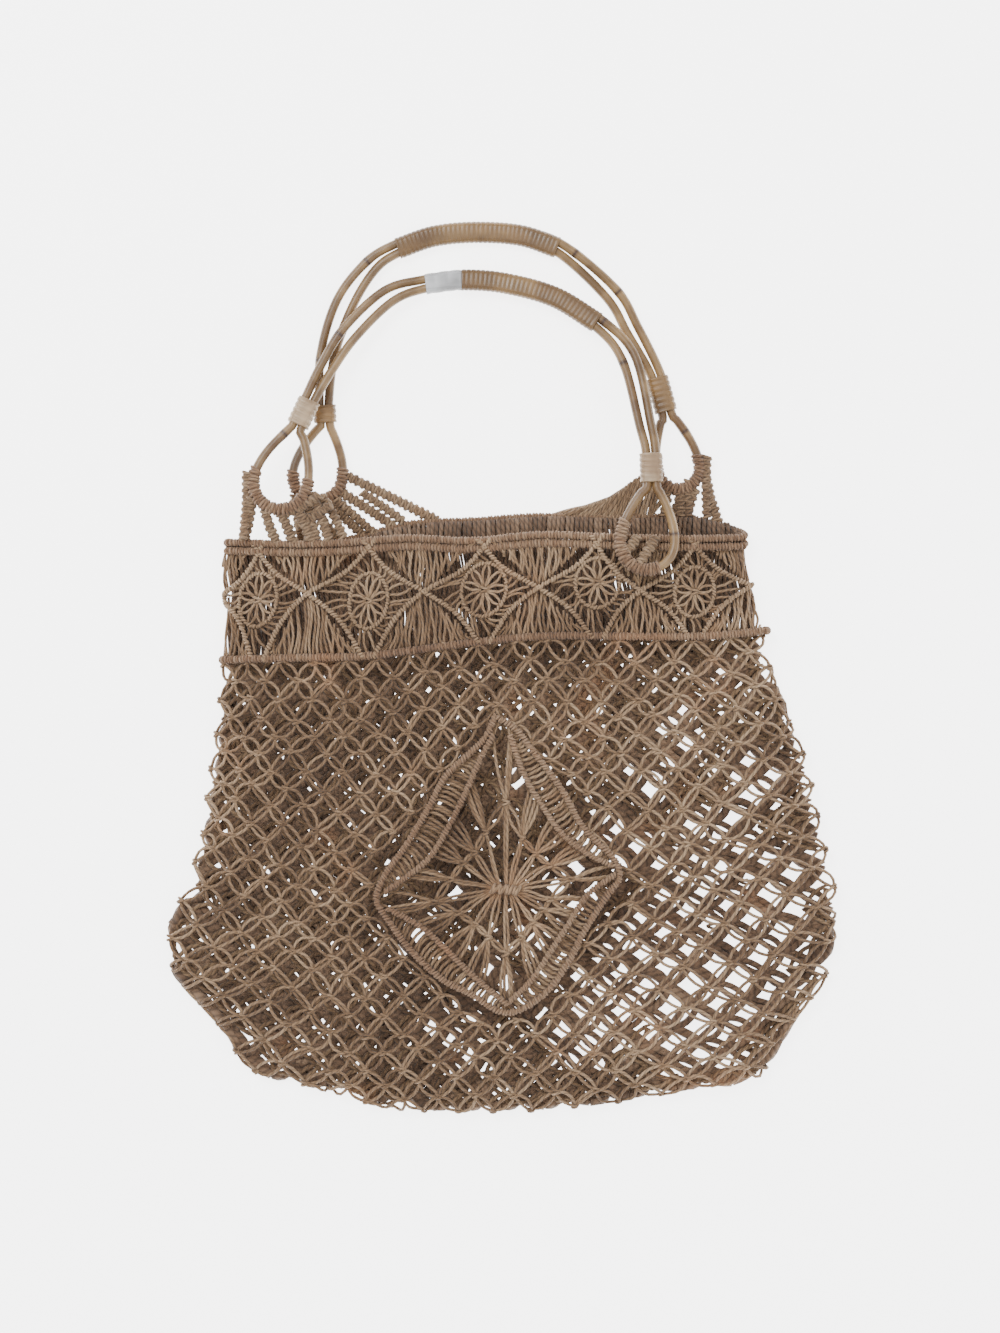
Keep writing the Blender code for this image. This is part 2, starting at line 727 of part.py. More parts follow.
def make_cane_ring(handle, material, collection):
    """One long cane bent to a closed ring: outer arch, right eye, inner arch, left eye."""
    middles, outer, inner = arch_line(handle)
    straight = (0, len(outer) - 2) + tuple(range(GRIP_ROWS[0], GRIP_ROWS[1]))
    right_eye = [eye_point(handle, "right", place) for place in reversed(eye_places())]
    left_eye = [eye_point(handle, "left", place) for place in reversed(eye_places())]
    points = refine(outer, straight) + right_eye
    points += list(reversed(refine(inner, straight))) + left_eye
    ring_tube("cane_ring_" + handle, points, CANE_RADIUS, CANE_RINGS, material, collection)


def sleeve(name, path, half_spread, wrap, handle, material, collection):
    """A binding round one or two canes: an open winding given its thickness outwards."""
    surface = Surface()
    bore = (CANE_RADIUS + GAP * 0.5) / math.cos(math.pi / ROUND_SIDES) + GAP * 0.5
    for i, middle in enumerate(path):
        ahead = path[min(i + 1, len(path) - 1)]
        behind = path[max(i - 1, 0)]
        along = (ahead - behind).normalized()
        aside = raise_to_plane(middle + across_of(along), handle) - raise_to_plane(middle, handle)
        upward = along.cross(aside).normalized()
        bend = 1.0
        if 0 < i < len(path) - 1:
            turn = (ahead - middle).angle(middle - behind)
            bend = 1 / math.cos(turn / 2)
        for j in range(ROUND_SIDES + (2 if half_spread else 0)):
            offset = sleeve_corner(j, bore, half_spread)
            place = middle + aside * offset.x * bend + upward * offset.y
            surface.point((i, j), place)
    sides = ROUND_SIDES + (2 if half_spread else 0)
    for i in range(len(path) - 1):
        for j in range(sides):
            k = (j + 1) % sides
            surface.face(
                surface.index[i, j], surface.index[i, k],
                surface.index[i + 1, k], surface.index[i + 1, j],
            )
    return surface.solid(name, wrap, 1.0, material, collection)


def sleeve_corner(number, bore, half_spread):
    """Corner of a binding's section: a circle, or two half circles side by side."""
    if not half_spread:
        turn = math.tau * (number + 0.5) / ROUND_SIDES
        return Vector((math.cos(turn) * bore, -math.sin(turn) * bore))
    half_count = ROUND_SIDES // 2 + 1
    end = 1 if number < half_count else -1
    step = number % half_count
    turn = math.pi * step / (half_count - 1) - math.pi / 2
    return Vector((end * (half_spread + math.cos(turn) * bore), -end * math.sin(turn) * bore))


def shorten(path):
    """A path whose two ends stop short of the bends where the canes part."""
    first = path[0] + (path[1] - path[0]).normalized() * BEND_ROOM
    last = path[-1] + (path[-2] - path[-1]).normalized() * BEND_ROOM
    return [first] + path[1:-1] + [last]


def make_bindings(handle, material, collection):
    """Grip and collar bindings of one handle, round both canes."""
    middles, outer, inner = arch_line(handle)
    touching = CANE_RADIUS + GAP / 2
    grip = shorten(middles[GRIP_ROWS[0]:GRIP_ROWS[1] + 1])
    pieces = (
        ("grip_wrap_" + handle, grip, GRIP_WRAP),
        ("collar_" + handle + "_left", shorten(middles[:2]), COLLAR_WRAP),
        ("collar_" + handle + "_right", shorten(middles[-2:]), COLLAR_WRAP),
    )
    for name, path, wrap in pieces:
        sleeve(name, path, touching, wrap, handle, material, collection)


def make_eye_wrap(handle, side, material, collection):
    """Cord wound round the lower part of an eye, where the straps are tied."""
    path = [eye_point(handle, side, place) for place in eye_places()[1:-1]]
    name = "eye_wrap_" + handle + "_" + side
    sleeve(name, path, 0.0, EYE_WRAP, handle, material, collection)


def line_hit(point, direction, line_point, line_direction):
    """Where a straight line in the plan meets another."""
    cross = direction.x * line_direction.y - direction.y * line_direction.x
    to_line = line_point - point
    reach = (to_line.x * line_direction.y - to_line.y * line_direction.x) / cross
    return point + direction * reach


def rim_place(across, layer):
    """Middle of the upper rim bar, and its direction in the plan."""
    here = ring_point(across, layer, 0.0, 0.0, BAR_RADIUS)
    after = ring_point(min(across + 0.01, 1.0), layer, 0.0, 0.0, BAR_RADIUS)
    before = ring_point(max(across - 0.01, -1.0), layer, 0.0, 0.0, BAR_RADIUS)
    along = after - before
    return here, Vector((along.x, along.y, 0.0)).normalized()


def make_sinnet(sinnet, material, collection):
    """A flat knotted strap from the winding of an eye to the rim bar."""
    start = eye_point(sinnet.handle, sinnet.eye, sinnet.around)
    beside = eye_point(sinnet.handle, sinnet.eye, sinnet.around + 0.02)
    tangent = Vector((beside.x - start.x, beside.y - start.y, 0.0)).normalized()
    outward = Vector((tangent.y, -tangent.x, 0.0)) * sinnet.way
    bar, bar_along = rim_place(sinnet.across, sinnet.handle)
    over_bar = sinnet.way < 0
    hollow_side = SINNET_WIDTH * 0.3 if over_bar else 0.0
    start_line = start + outward * (EYE_WRAP_RADIUS + SEAT + hollow_side)
    clear = 0.0 if over_bar else BAR_RADIUS + SEAT + RIM_BOW
    end_line = bar + Vector((-bar_along.y, bar_along.x, 0.0)) * clear
    end_z = bar.z + (BAR_RADIUS + SEAT + SINNET_THICKNESS / 2 if over_bar else 0.0)
    direction = Vector((end_line.x - start_line.x, end_line.y - start_line.y, 0.0)).normalized()
    aside = Vector((-direction.y, direction.x, 0.0)) * SINNET_WIDTH / 2
    bpy.ops.mesh.primitive_cube_add(size=1.0)
    strap = bpy.context.object
    strap.name = sinnet.name
    strap.data.name = sinnet.name
    for corner in strap.data.vertices:
        side = aside if corner.co.x > 0 else -aside
        thick = SINNET_THICKNESS / 2 if corner.co.z > 0 else -SINNET_THICKNESS / 2
        if corner.co.y > 0:
            place = line_hit(start_line + side, direction, start_line, tangent)
            height = start.z
        else:
            place = line_hit(end_line + side, direction, end_line, bar_along)
            height = end_z
        corner.co = (place.x, place.y, height + thick)
    turn_faces_alike(strap.data)
    strap.data.materials.append(material)
    for holder in list(strap.users_collection):
        holder.objects.unlink(strap)
    collection.objects.link(strap)


def make_gusset(material, collection):
    """The close-woven web between the right eye of the back handle and the back rim."""
    outline = []
    wrap_reach = EYE_WRAP_RADIUS / math.cos(math.pi / EYE_ARC_STEPS / 2) + SEAT
    for around in GUSSET_AROUND:
        here = eye_point("back", "right", around)
        beside = eye_point("back", "right", around + 0.02)
        tangent = Vector((beside.x - here.x, beside.y - here.y, 0.0)).normalized()
        outline.append(here + Vector((tangent.y, -tangent.x, 0.0)) * wrap_reach)
    for across in GUSSET_RIM:
        bar, bar_along = rim_place(across, "back")
        outline.append(bar + Vector((-bar_along.y, bar_along.x, 0.0)) * (BAR_RADIUS + SEAT))
    for edge in reversed(GUSSET_EDGE):
        outline.append(handle_point(edge.across, edge.up, "back"))
    curve = bpy.data.curves.new("gusset_outline", "CURVE")
    curve.dimensions = "2D"
    curve.fill_mode = "BOTH"
    curve.extrude = SINNET_THICKNESS / 2
    spline = curve.splines.new("POLY")
    spline.points.add(len(outline) - 1)
    for knot, place in zip(spline.points, outline):
        knot.co = (place.x, place.y, 0.0, 1.0)
    spline.use_cyclic_u = True
    outline_object = bpy.data.objects.new("gusset_outline", curve)
    collection.objects.link(outline_object)
    evaluated = outline_object.evaluated_get(bpy.context.evaluated_depsgraph_get())
    mesh = bpy.data.meshes.new_from_object(evaluated)
    bpy.data.objects.remove(outline_object, do_unlink=True)
    work = bmesh.new()
    work.from_mesh(mesh)
    bmesh.ops.remove_doubles(work, verts=work.verts, dist=GAP / 10)
    work.to_mesh(mesh)
    work.free()
    mesh.materials.clear()
    web = place_mesh("gusset_back_right", mesh, material, collection)
    web.location.z = BAR_RADIUS + GAP


def diamond_path(corners, lift):
    """Points along the bowed sides of a diamond, on the front of the net."""
    points = []
    for i, corner in enumerate(corners):
        after = corners[(i + 1) % len(corners)]
        start = Vector((corner.across, corner.down))
        end = Vector((after.across, after.down))
        middle = Vector((DIAMOND_CENTRE.across, DIAMOND_CENTRE.down))
        away = (start + end) / 2 - middle
        for step in range(DIAMOND_SIDE_STEPS):
            share = step / DIAMOND_SIDE_STEPS
            spot = start.lerp(end, share) + away * corner.bow * 4 * share * (1 - share) * 2
            place = net_point(spot.x, spot.y, "front")
            place.z += WALL / 2 + lift
            points.append(place)
    return points


def make_diamond(material, collection):
    """The raised ridges and the gathered knot of the diamond."""
    lift = RIDGE_DIAMETER / 2 + GAP
    for name, corners in (("outer", OUTER_DIAMOND), ("inner", INNER_DIAMOND)):
        path = diamond_path(corners, lift)
        ring_tube("diamond_ridge_" + name, path, RIDGE_DIAMETER / 2, BAR_RINGS, material, collection)
    place = net_point(DIAMOND_CENTRE.across, DIAMOND_CENTRE.down, "front")
    place.z += WALL / 2 + GAP + CENTRE_WRAP_DIAMETER / 2
    bpy.ops.mesh.primitive_cylinder_add(
        vertices=ROUND_SIDES, radius=CENTRE_WRAP_DIAMETER / 2, depth=CENTRE_WRAP_LENGTH)
    knot = bpy.context.object
    knot.name = "diamond_centre_wrap"
    knot.rotation_euler = (0.0, math.pi / 2, 0.0)
    knot.location = place
    knot.data.materials.append(material)
    knot.data.shade_smooth()
    knot.data.set_sharp_from_angle(angle=math.radians(50))
    for holder in list(knot.users_collection):
        holder.objects.unlink(knot)
    collection.objects.link(knot)


def build():
    """Make every piece of the bag."""
    clear_scene()
    bag = make_collection("sisal_tote_bag")
    sisal = make_material("sisal_net", SISAL)
    dark_sisal = make_material("sisal_bars", SISAL_DARK)
    rattan = make_material("rattan_cane", RATTAN)
    binding = make_material("rattan_binding", BINDING)
    make_net_body(sisal, bag)
    make_band(sisal, bag)
    second_bar = BAR_DIAMETER + BAR_GAP
    make_bar("rim_bar_upper", 0.0, 0.0, dark_sisal, bag)
    make_bar("rim_bar_lower", 0.0, second_bar, dark_sisal, bag)
    make_bar("waist_bar", 1.0, 0.0, dark_sisal, bag)
    make_diamond(dark_sisal, bag)
    for handle in ("back", "front"):
        make_cane_ring(handle, rattan, bag)
        make_bindings(handle, binding, bag)
        for side in ("left", "right"):
            make_eye_wrap(handle, side, dark_sisal, bag)
    for sinnet in SINNETS:
        make_sinnet(sinnet, sisal, bag)
    make_gusset(sisal, bag)


build()
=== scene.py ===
"""Looks of the sisal macrame tote bag, laid flat on its back with both handles folded out.

Every cord of the net, the band, the diamond and the straps is modelled as a twisted cord of
its own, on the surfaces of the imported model. All lengths are in metres, in the model's frame:
+X across the bag, +Y from the base towards the handles and +Z up from the floor.
"""

import math
from collections import namedtuple

import bpy
import numpy as np
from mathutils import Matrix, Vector


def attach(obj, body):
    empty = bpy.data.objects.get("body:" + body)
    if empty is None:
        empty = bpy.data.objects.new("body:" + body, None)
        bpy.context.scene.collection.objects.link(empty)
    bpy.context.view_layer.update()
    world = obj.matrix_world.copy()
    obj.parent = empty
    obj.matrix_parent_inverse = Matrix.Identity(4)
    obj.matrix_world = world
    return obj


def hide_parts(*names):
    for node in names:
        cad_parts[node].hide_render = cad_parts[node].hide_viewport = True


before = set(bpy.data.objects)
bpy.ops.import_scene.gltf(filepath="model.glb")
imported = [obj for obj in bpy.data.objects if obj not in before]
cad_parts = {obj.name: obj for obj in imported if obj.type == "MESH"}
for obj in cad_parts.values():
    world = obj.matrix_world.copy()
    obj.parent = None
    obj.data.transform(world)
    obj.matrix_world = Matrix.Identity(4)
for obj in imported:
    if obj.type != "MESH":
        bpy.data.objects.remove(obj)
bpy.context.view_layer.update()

# Scale of the photograph, for the few places that are named in its pixels
PIXEL = 0.00062
PHOTO_MIDDLE = (500.0, 666.5)
PHOTO_HEIGHT = 1333

# Body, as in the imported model
BODY_WIDTH = 0.420
BODY_HEIGHT = 0.355
BAND_HEIGHT = 0.065
BODY_LOFT = 0.0235
MOUTH_LOFT = 0.0200
EDGE_LOFT = 0.0090
WALL = 0.0030
BAR_DIAMETER = 0.0047
MOUTH_STEP = 0.0136
RIM_WAVE = 0.0043
RIDGE_DIAMETER = 0.0043
CENTRE_WRAP_LENGTH = 0.0155
GAP = 0.0003
BAR_GAP = 0.0005
SEAT = 0.0005
BEND_ROOM = 0.0020

# Handles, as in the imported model
HANDLE_WIDTH = 0.212
HANDLE_REACH = 0.1931
CANE_DIAMETER = 0.0056
EYE_WIDTH = 0.0310
GRIP_WRAP = 0.0009
COLLAR_WRAP = 0.0014
EYE_WRAP = 0.0018
SINNET_WIDTH = 0.0052
SINNET_THICKNESS = 0.0026
BAR_STEPS = 20

# Cords
CORD_RADIUS = 0.00098
FINE_CORD_RADIUS = 0.00085
CORD_PITCH = 0.0052       # length of one full turn of the twist
HITCH_PITCH = 0.0020      # from one hitch to the next along a bar
CORD_SIDES = 6
# Painted shade: the core of a hitched bar, seen only between its hitches, takes a fixed dark tone.
CORE_PAINTED_SHADE_TONE = 0.1           # tone of the cord inside a hitched bar
HITCH_SPREAD = 0.12       # how unevenly the hitches reach out, as a share of their cord
HITCH_PAIRING = 0.07      # how near the hitches stand in pairs, as a share of their pitch
HITCH_SLANT = 0.0004      # how far a hitch leans along its bar
STEEP_SLANT = 0.0007
SLANT_SPREAD = 0.5
RIDGE_HITCHES = {"pitch": 0.0021, "slant": 0.0006}
STRIP_PITCH = 0.02        # length of the pattern along a cane or a wound strip
STRIP_TONE = 0.5
HITCH_SWELL = 0.00035     # how far the hitches of a bar stand proud of its solid
TURN_BULGE = 0.15         # how far a bar bulges where it turns, as a share of the edge's loft
UNDER_BAR = 0.0030        # how far a strand runs on under the bar that holds it
SHORTEST_STRAND = 0.003   # a shorter strand is left out
RING_SIDES = 5            # sides of the cord of a ring or a wrap
CURVE_STEPS = 12          # points on each stretch of a smooth curve, before it is spaced evenly

# Net
COLUMNS = 16
HALF_ROWS = 25
NET_JITTER = 0.0008

BAR_RADIUS = BAR_DIAMETER / 2
CANE_RADIUS = CANE_DIAMETER / 2
EYE_WRAP_RADIUS = CANE_RADIUS + GAP + EYE_WRAP
GRIP_HALF_WIDTH = CANE_DIAMETER + GAP * 1.5 + GRIP_WRAP
RIM_Y = (BODY_HEIGHT - HANDLE_REACH - GRIP_HALF_WIDTH) / 2
WAIST_DOWN = BAND_HEIGHT / BODY_HEIGHT
BACK_HANDLE_Z = EYE_WRAP_RADIUS
FOLD_RADIUS = EDGE_LOFT / 2


def table(kind, columns, *rows):
    """Rows of values with a name for each column."""
    row_kind = namedtuple(kind, columns)
    return tuple(row_kind(*row) for row in rows)


SIDES = table(
    "Side", "down left right",
    (0.000, 0.401, 0.359), (0.050, 0.411, 0.364), (0.100, 0.402, 0.378), (0.180, 0.408, 0.392),
    (0.310, 0.418, 0.428), (0.400, 0.429, 0.458), (0.500, 0.441, 0.474), (0.590, 0.460, 0.494),
    (0.640, 0.480, 0.497), (0.690, 0.495, 0.496), (0.735, 0.493, 0.490), (0.780, 0.468, 0.474),
    (0.840, 0.420, 0.436), (0.914, 0.381, 0.402))
CORNER_DOWN = SIDES[-1].down
BASE = table(
    "Base", "across down",
    (-1.00, CORNER_DOWN), (-0.90, 0.940), (-0.65, 0.965), (-0.50, 0.988), (-0.25, 0.996),
    (0.05, 0.996), (0.30, 0.988), (0.55, 0.970), (0.72, 0.958), (0.86, 0.962), (0.95, 0.940),
    (1.00, CORNER_DOWN))
RIMS = table(
    "Rim", "across front waist back",
    (-1.00, -0.10, -1.95, 0.00), (-0.70, -0.45, -1.60, 0.05), (-0.50, -0.10, -1.50, 0.25),
    (-0.30, 0.45, -0.60, 0.70), (-0.05, 0.00, 0.70, 0.98), (0.20, 0.90, 1.50, 0.90),
    (0.50, 0.55, 1.40, 0.92), (0.80, 0.35, 1.50, 1.00), (1.00, 0.60, 2.30, 0.25))
ARCHES = {
    "back": table(
        "Arch", "across up part",
        (-0.513, 0.376, 0.00), (-0.517, 0.452, 0.00), (-0.506, 0.608, 0.25),
        (-0.457, 0.770, 0.40), (-0.383, 0.888, 0.14), (-0.310, 0.944, 0.00),
        (-0.195, 0.987, 0.00), (-0.073, 1.000, 0.00), (0.060, 0.990, 0.00),
        (0.178, 0.947, 0.00), (0.327, 0.803, 0.18), (0.390, 0.684, 0.16),
        (0.458, 0.541, 0.00), (0.491, 0.412, 0.00)),
    "front": table(
        "Arch", "across up part",
        (-0.594, 0.363, 0.00), (-0.553, 0.461, 0.00), (-0.509, 0.555, 0.14),
        (-0.441, 0.671, 0.30), (-0.330, 0.790, 0.24), (-0.228, 0.830, 0.00),
        (-0.110, 0.845, 0.00), (0.015, 0.834, 0.00), (0.160, 0.789, 0.00),
        (0.292, 0.700, 0.00), (0.377, 0.588, 0.22), (0.424, 0.372, 0.10),
        (0.439, 0.289, 0.00), (0.442, 0.177, 0.00)),
}
GRIP_ROWS = (5, 9)        # first and last row of an arch that the grip covers
CROSSING_UP = 0.700
FRONT_EYE_DOWN = -0.010

Eye = namedtuple("Eye", "across up wide")
EYES = {
    ("back", "left"): Eye(-0.547, 0.135, 1.00),
    ("back", "right"): Eye(0.538, 0.172, 0.86),
    ("front", "left"): Eye(-0.661, 0.103, 1.08),
    ("front", "right"): Eye(0.421, -0.093, 1.08),
}
EYE_LEG = 0.3             # share of an eye's run that each leg takes

# Straps by the eye that they hang from and the way they leave it: place round the eye, and
# place across the rim
SINNET_TIES = {
    ("front", "left", 1): (
        (0.400, -0.941), (0.475, -0.813), (0.540, -0.747), (0.610, -0.676), (0.690, -0.606)),
    ("front", "right", -1): ((0.36, 0.585), (0.47, 0.655)),
    ("back", "left", 1): (
        (0.720, -0.197), (0.640, -0.361), (0.570, -0.480), (0.490, -0.575), (0.410, -0.720)),
    ("back", "right", 1): ((0.48, 0.725), (0.555, 0.785), (0.65, 0.905)),
}
SINNETS = table("Sinnet", "name handle eye way around across", *(
    (f"sinnet_{handle}_{eye}_{number}", handle, eye, way, *tie)
    for (handle, eye, way), ties in SINNET_TIES.items() for number, tie in enumerate(ties, 1)))

GUSSET_EDGE = table("Edge", "across up", (0.395, 0.196), (0.330, 0.145), (0.231, 0.105))
GUSSET_AROUND = (0.28, 0.43)
GUSSET_RIM = (0.640, 0.240)

# Soft folds and ripples of the front wall: centre in pixels, turn in degrees, sizes in metres
FOLDS = table(
    "Fold", "px py turn length width height",
    (245, 800, 80, 0.085, 0.010, 0.0022), (775, 800, 100, 0.080, 0.010, 0.0022),
    (742, 1050, 60, 0.035, 0.012, 0.0035), (280, 1020, 130, 0.040, 0.012, 0.0025),
    (420, 700, 20, 0.050, 0.008, 0.0012), (640, 700, 160, 0.050, 0.008, 0.0012))
FULL_LOFT_INSET = BODY_WIDTH * 0.45

OUTLINE_STEPS = 48
STEPS_ABOVE_RIM = 3       # the outline runs on past the rim, for what stands above it

rng = np.random.default_rng(7)


def at_pixel(px, py):
    """Plan place of a pixel of the photograph."""
    return np.array(((px - PHOTO_MIDDLE[0]) * PIXEL, (PHOTO_MIDDLE[1] - py) * PIXEL))


def pixel_path(pixels):
    """Plan path through pixels of the photograph."""
    return np.array([at_pixel(px, py) for px, py in pixels])


def read_table(rows, key, column, at):
    """Value of a column at a key, on a smooth curve through the table's rows."""
    keys = [getattr(row, key) for row in rows]
    values = [getattr(row, column) for row in rows]
    at = min(max(at, keys[0]), keys[-1])
    last = len(keys) - 1
    i = 0
    while i < last - 1 and at > keys[i + 1]:
        i += 1

    def slope(j):
        low = max(j - 1, 0)
        high = min(j + 1, last)
        return (values[high] - values[low]) / (keys[high] - keys[low])

    span = keys[i + 1] - keys[i]
    t = (at - keys[i]) / span
    return (
        values[i] * (2 * t ** 3 - 3 * t ** 2 + 1)
        + values[i + 1] * (3 * t ** 2 - 2 * t ** 3)
        + slope(i) * span * (t ** 3 - 2 * t ** 2 + t)
        + slope(i + 1) * span * (t ** 3 - t ** 2)
    )


def side_x(down, across):
    """Place across the body, from -1 at its left fold to 1 at its right one."""
    left = -read_table(SIDES, "down", "left", down) * BODY_WIDTH
    right = read_table(SIDES, "down", "right", down) * BODY_WIDTH
    return left + (right - left) * (across + 1) / 2


def bar_grid(across, value):
    """Straight stretches between the bars' own steps."""
    place = (across + 1) / 2 * BAR_STEPS
    step = max(0, min(int(place), BAR_STEPS - 1))
    low = value(2 * step / BAR_STEPS - 1)
    high = value(2 * (step + 1) / BAR_STEPS - 1)
    return low + (high - low) * (place - step)


def rim_y(across, layer):
    """Height along the bag of the upper rim bar on the front or the back wall."""
    def line(a):
        wave = RIM_WAVE * read_table(RIMS, "across", "front", a)
        if layer == "front":
            return RIM_Y + wave
        return RIM_Y + wave + MOUTH_STEP * read_table(RIMS, "across", "back", a)
    return bar_grid(across, line)


def waist_y(across):
    """Height along the bag of the bar under the band."""
    def line(a):
        return RIM_Y - BAND_HEIGHT + RIM_WAVE * read_table(RIMS, "across", "waist", a)
    return bar_grid(across, line)


def front_bulge(across, loft):
    """Height of the front wall above the back one, round at the folds."""
    def line(a):
        return EDGE_LOFT + (loft - EDGE_LOFT) * (1 - abs(a) ** 5)
    return bar_grid(across, line)


def ring_point(across, layer, share, drop=0.0):
    """Middle of a bar at the mouth: share runs from 0 at the rim to 1 at the waist."""
    loft = MOUTH_LOFT + (BODY_LOFT - MOUTH_LOFT) * share
    top = rim_y(across, layer)
    y = top + (waist_y(across) - top) * share - drop
    x = bar_grid(across, lambda a: side_x(share * WAIST_DOWN, a))
    z = BAR_RADIUS
    if layer == "front":
        z += front_bulge(across, loft)
    return Vector((x, y, z))


def body_outline():
    """Plan outline of the body, down the left fold, along the base and up the right fold."""
    left, right, base = [], [], []
    for i in range(-STEPS_ABOVE_RIM, OUTLINE_STEPS + 1):
        down = CORNER_DOWN * i / OUTLINE_STEPS
        y = RIM_Y - BODY_HEIGHT * down
        left.append((side_x(down, -1), y))
        right.append((side_x(down, 1), y))
    for i in range(1, OUTLINE_STEPS):
        across = 2 * i / OUTLINE_STEPS - 1
        down = read_table(BASE, "across", "down", across)
        base.append((side_x(CORNER_DOWN, across), RIM_Y - BODY_HEIGHT * down))
    return np.array(left + base + right[::-1])


OUTLINE = body_outline()


def edge_distance(plan):
    """Distance inwards from the body's outline, and the inward direction, for plan points."""
    plan = np.asarray(plan, float)
    start, end = OUTLINE[:-1], OUTLINE[1:]
    run = end - start
    length2 = (run ** 2).sum(1)
    reach = plan[:, None, :] - start[None]
    t = np.clip((reach * run[None]).sum(2) / length2[None], 0, 1)
    near = start[None] + t[..., None] * run[None]
    gap = plan[:, None, :] - near
    distance = np.sqrt((gap ** 2).sum(2))
    best = distance.argmin(1)
    rows = np.arange(len(plan))
    gap, distance, run, near = gap[rows, best], distance[rows, best], run[best], near[rows, best]
    left_normal = np.stack((-run[:, 1], run[:, 0]), 1) / np.sqrt((run ** 2).sum(1))[:, None]
    sign = np.where((gap * left_normal).sum(1) >= 0, 1.0, -1.0)
    inward = np.where(
        distance[:, None] > 1e-4, gap / np.maximum(distance, 1e-6)[:, None] * sign[:, None],
        left_normal)
    return distance * sign, inward, near


def front_height(plan, distance):
    """Height of the front wall's middle above the floor, away from the folds."""
    share = np.clip((RIM_Y - plan[:, 1]) / BAND_HEIGHT, 0, 1)
    loft = MOUTH_LOFT + (BODY_LOFT - MOUTH_LOFT) * share
    inset = np.clip(1 - (distance - FOLD_RADIUS) / FULL_LOFT_INSET, 0, 1)
    soft = 0.0
    for fold in FOLDS:
        centre = at_pixel(fold.px, fold.py)
        turn = math.radians(fold.turn)
        dx, dy = plan[:, 0] - centre[0], plan[:, 1] - centre[1]
        along = (dx * math.cos(turn) + dy * math.sin(turn)) / fold.length
        aside = (-dx * math.sin(turn) + dy * math.cos(turn)) / fold.width
        soft = soft + fold.height * np.exp(-along ** 2 - aside ** 2)
    return WALL / 2 + EDGE_LOFT + (loft - EDGE_LOFT) * (1 - inset ** 5) + soft


def on_wall(plan, layer, lift=0.0):
    """Places and outward normals on a wall; what lies beyond the edge turns round the fold."""
    plan = np.atleast_2d(np.asarray(plan, float))
    distance, inward, near = edge_distance(plan)
    lift = np.broadcast_to(np.asarray(lift, float), distance.shape)
    turn = np.clip((FOLD_RADIUS - distance) / FOLD_RADIUS, 0, math.pi)
    over = np.maximum((FOLD_RADIUS - distance) - math.pi * FOLD_RADIUS, 0)
    way = 1.0 if layer == "front" else -1.0
    flat = distance >= FOLD_RADIUS
    inset = FOLD_RADIUS - np.sin(turn) * (FOLD_RADIUS + lift) + over
    place = np.where(flat[:, None], plan, near + inward * inset[:, None])
    middle = WALL / 2 + EDGE_LOFT / 2
    z = middle + way * np.cos(turn) * (FOLD_RADIUS + lift)
    if layer == "front":
        flat_z = front_height(plan, distance) + lift
    else:
        flat_z = WALL / 2 - lift
    z = np.where(flat, flat_z, z)
    normal = np.zeros((len(plan), 3))
    normal[:, :2] = -inward * np.sin(turn)[:, None]
    normal[:, 2] = way * np.cos(turn)
    normal[flat] = (0.0, 0.0, way)
    return np.column_stack((place, z)), normal


def unit(vectors):
    """Vectors of length one."""
    return vectors / np.maximum(np.linalg.norm(vectors, axis=-1, keepdims=True), 1e-12)


def circle(count):
    """Angles spaced evenly round a circle."""
    return np.arange(count) / count * math.tau


def alternate(count):
    """1 and -1 by turns, one for each ring of a row."""
    return np.where(np.arange(count) % 2 == 0, 1.0, -1.0)[:, None, None]


def axes_along(paths, up, closed=False):
    """Unit vectors across, upwards and along at each point of one path or of many."""
    if closed:
        tangent = unit(np.roll(paths, -1, -2) - np.roll(paths, 1, -2))
    else:
        tangent = unit(np.gradient(paths, axis=-2))
    aside = unit(np.cross(up, tangent))
    return aside, np.cross(tangent, aside), tangent


def running_length(path):
    """Length of a path up to each of its points."""
    return np.concatenate(((0,), np.cumsum(np.linalg.norm(np.diff(path, axis=0), axis=1))))


def path_length(path):
    """Length of a path."""
    return np.linalg.norm(np.diff(path, axis=0), axis=1).sum()


def resample(path, steps, values=None):
    """The path, or values that follow it, read at evenly spaced points."""
    values = path if values is None else values
    length = running_length(path)
    at = np.linspace(0, length[-1], steps)
    return np.column_stack([np.interp(at, length, values[:, k]) for k in range(values.shape[1])])


def smooth_path(points, steps):
    """Even points on a smooth curve through the given ones."""
    points = np.asarray(points, float)
    ends = np.vstack((2 * points[0] - points[1], points, 2 * points[-1] - points[-2]))
    fine = []
    for i in range(len(points) - 1):
        a, b, c, d = ends[i:i + 4]
        for t in np.linspace(0, 1, CURVE_STEPS, endpoint=False):
            fine.append(0.5 * (2 * b + (c - a) * t + (2 * a - 5 * b + 4 * c - d) * t * t
                               + (3 * b - a - 3 * c + d) * t ** 3))
    fine.append(points[-1])
    return resample(np.array(fine), steps)


def bowed_path(start, end, bow, steps):
    """A smooth path between two places whose middle is moved by a bow."""
    return smooth_path([start, (start + end) / 2 + bow, end], steps)


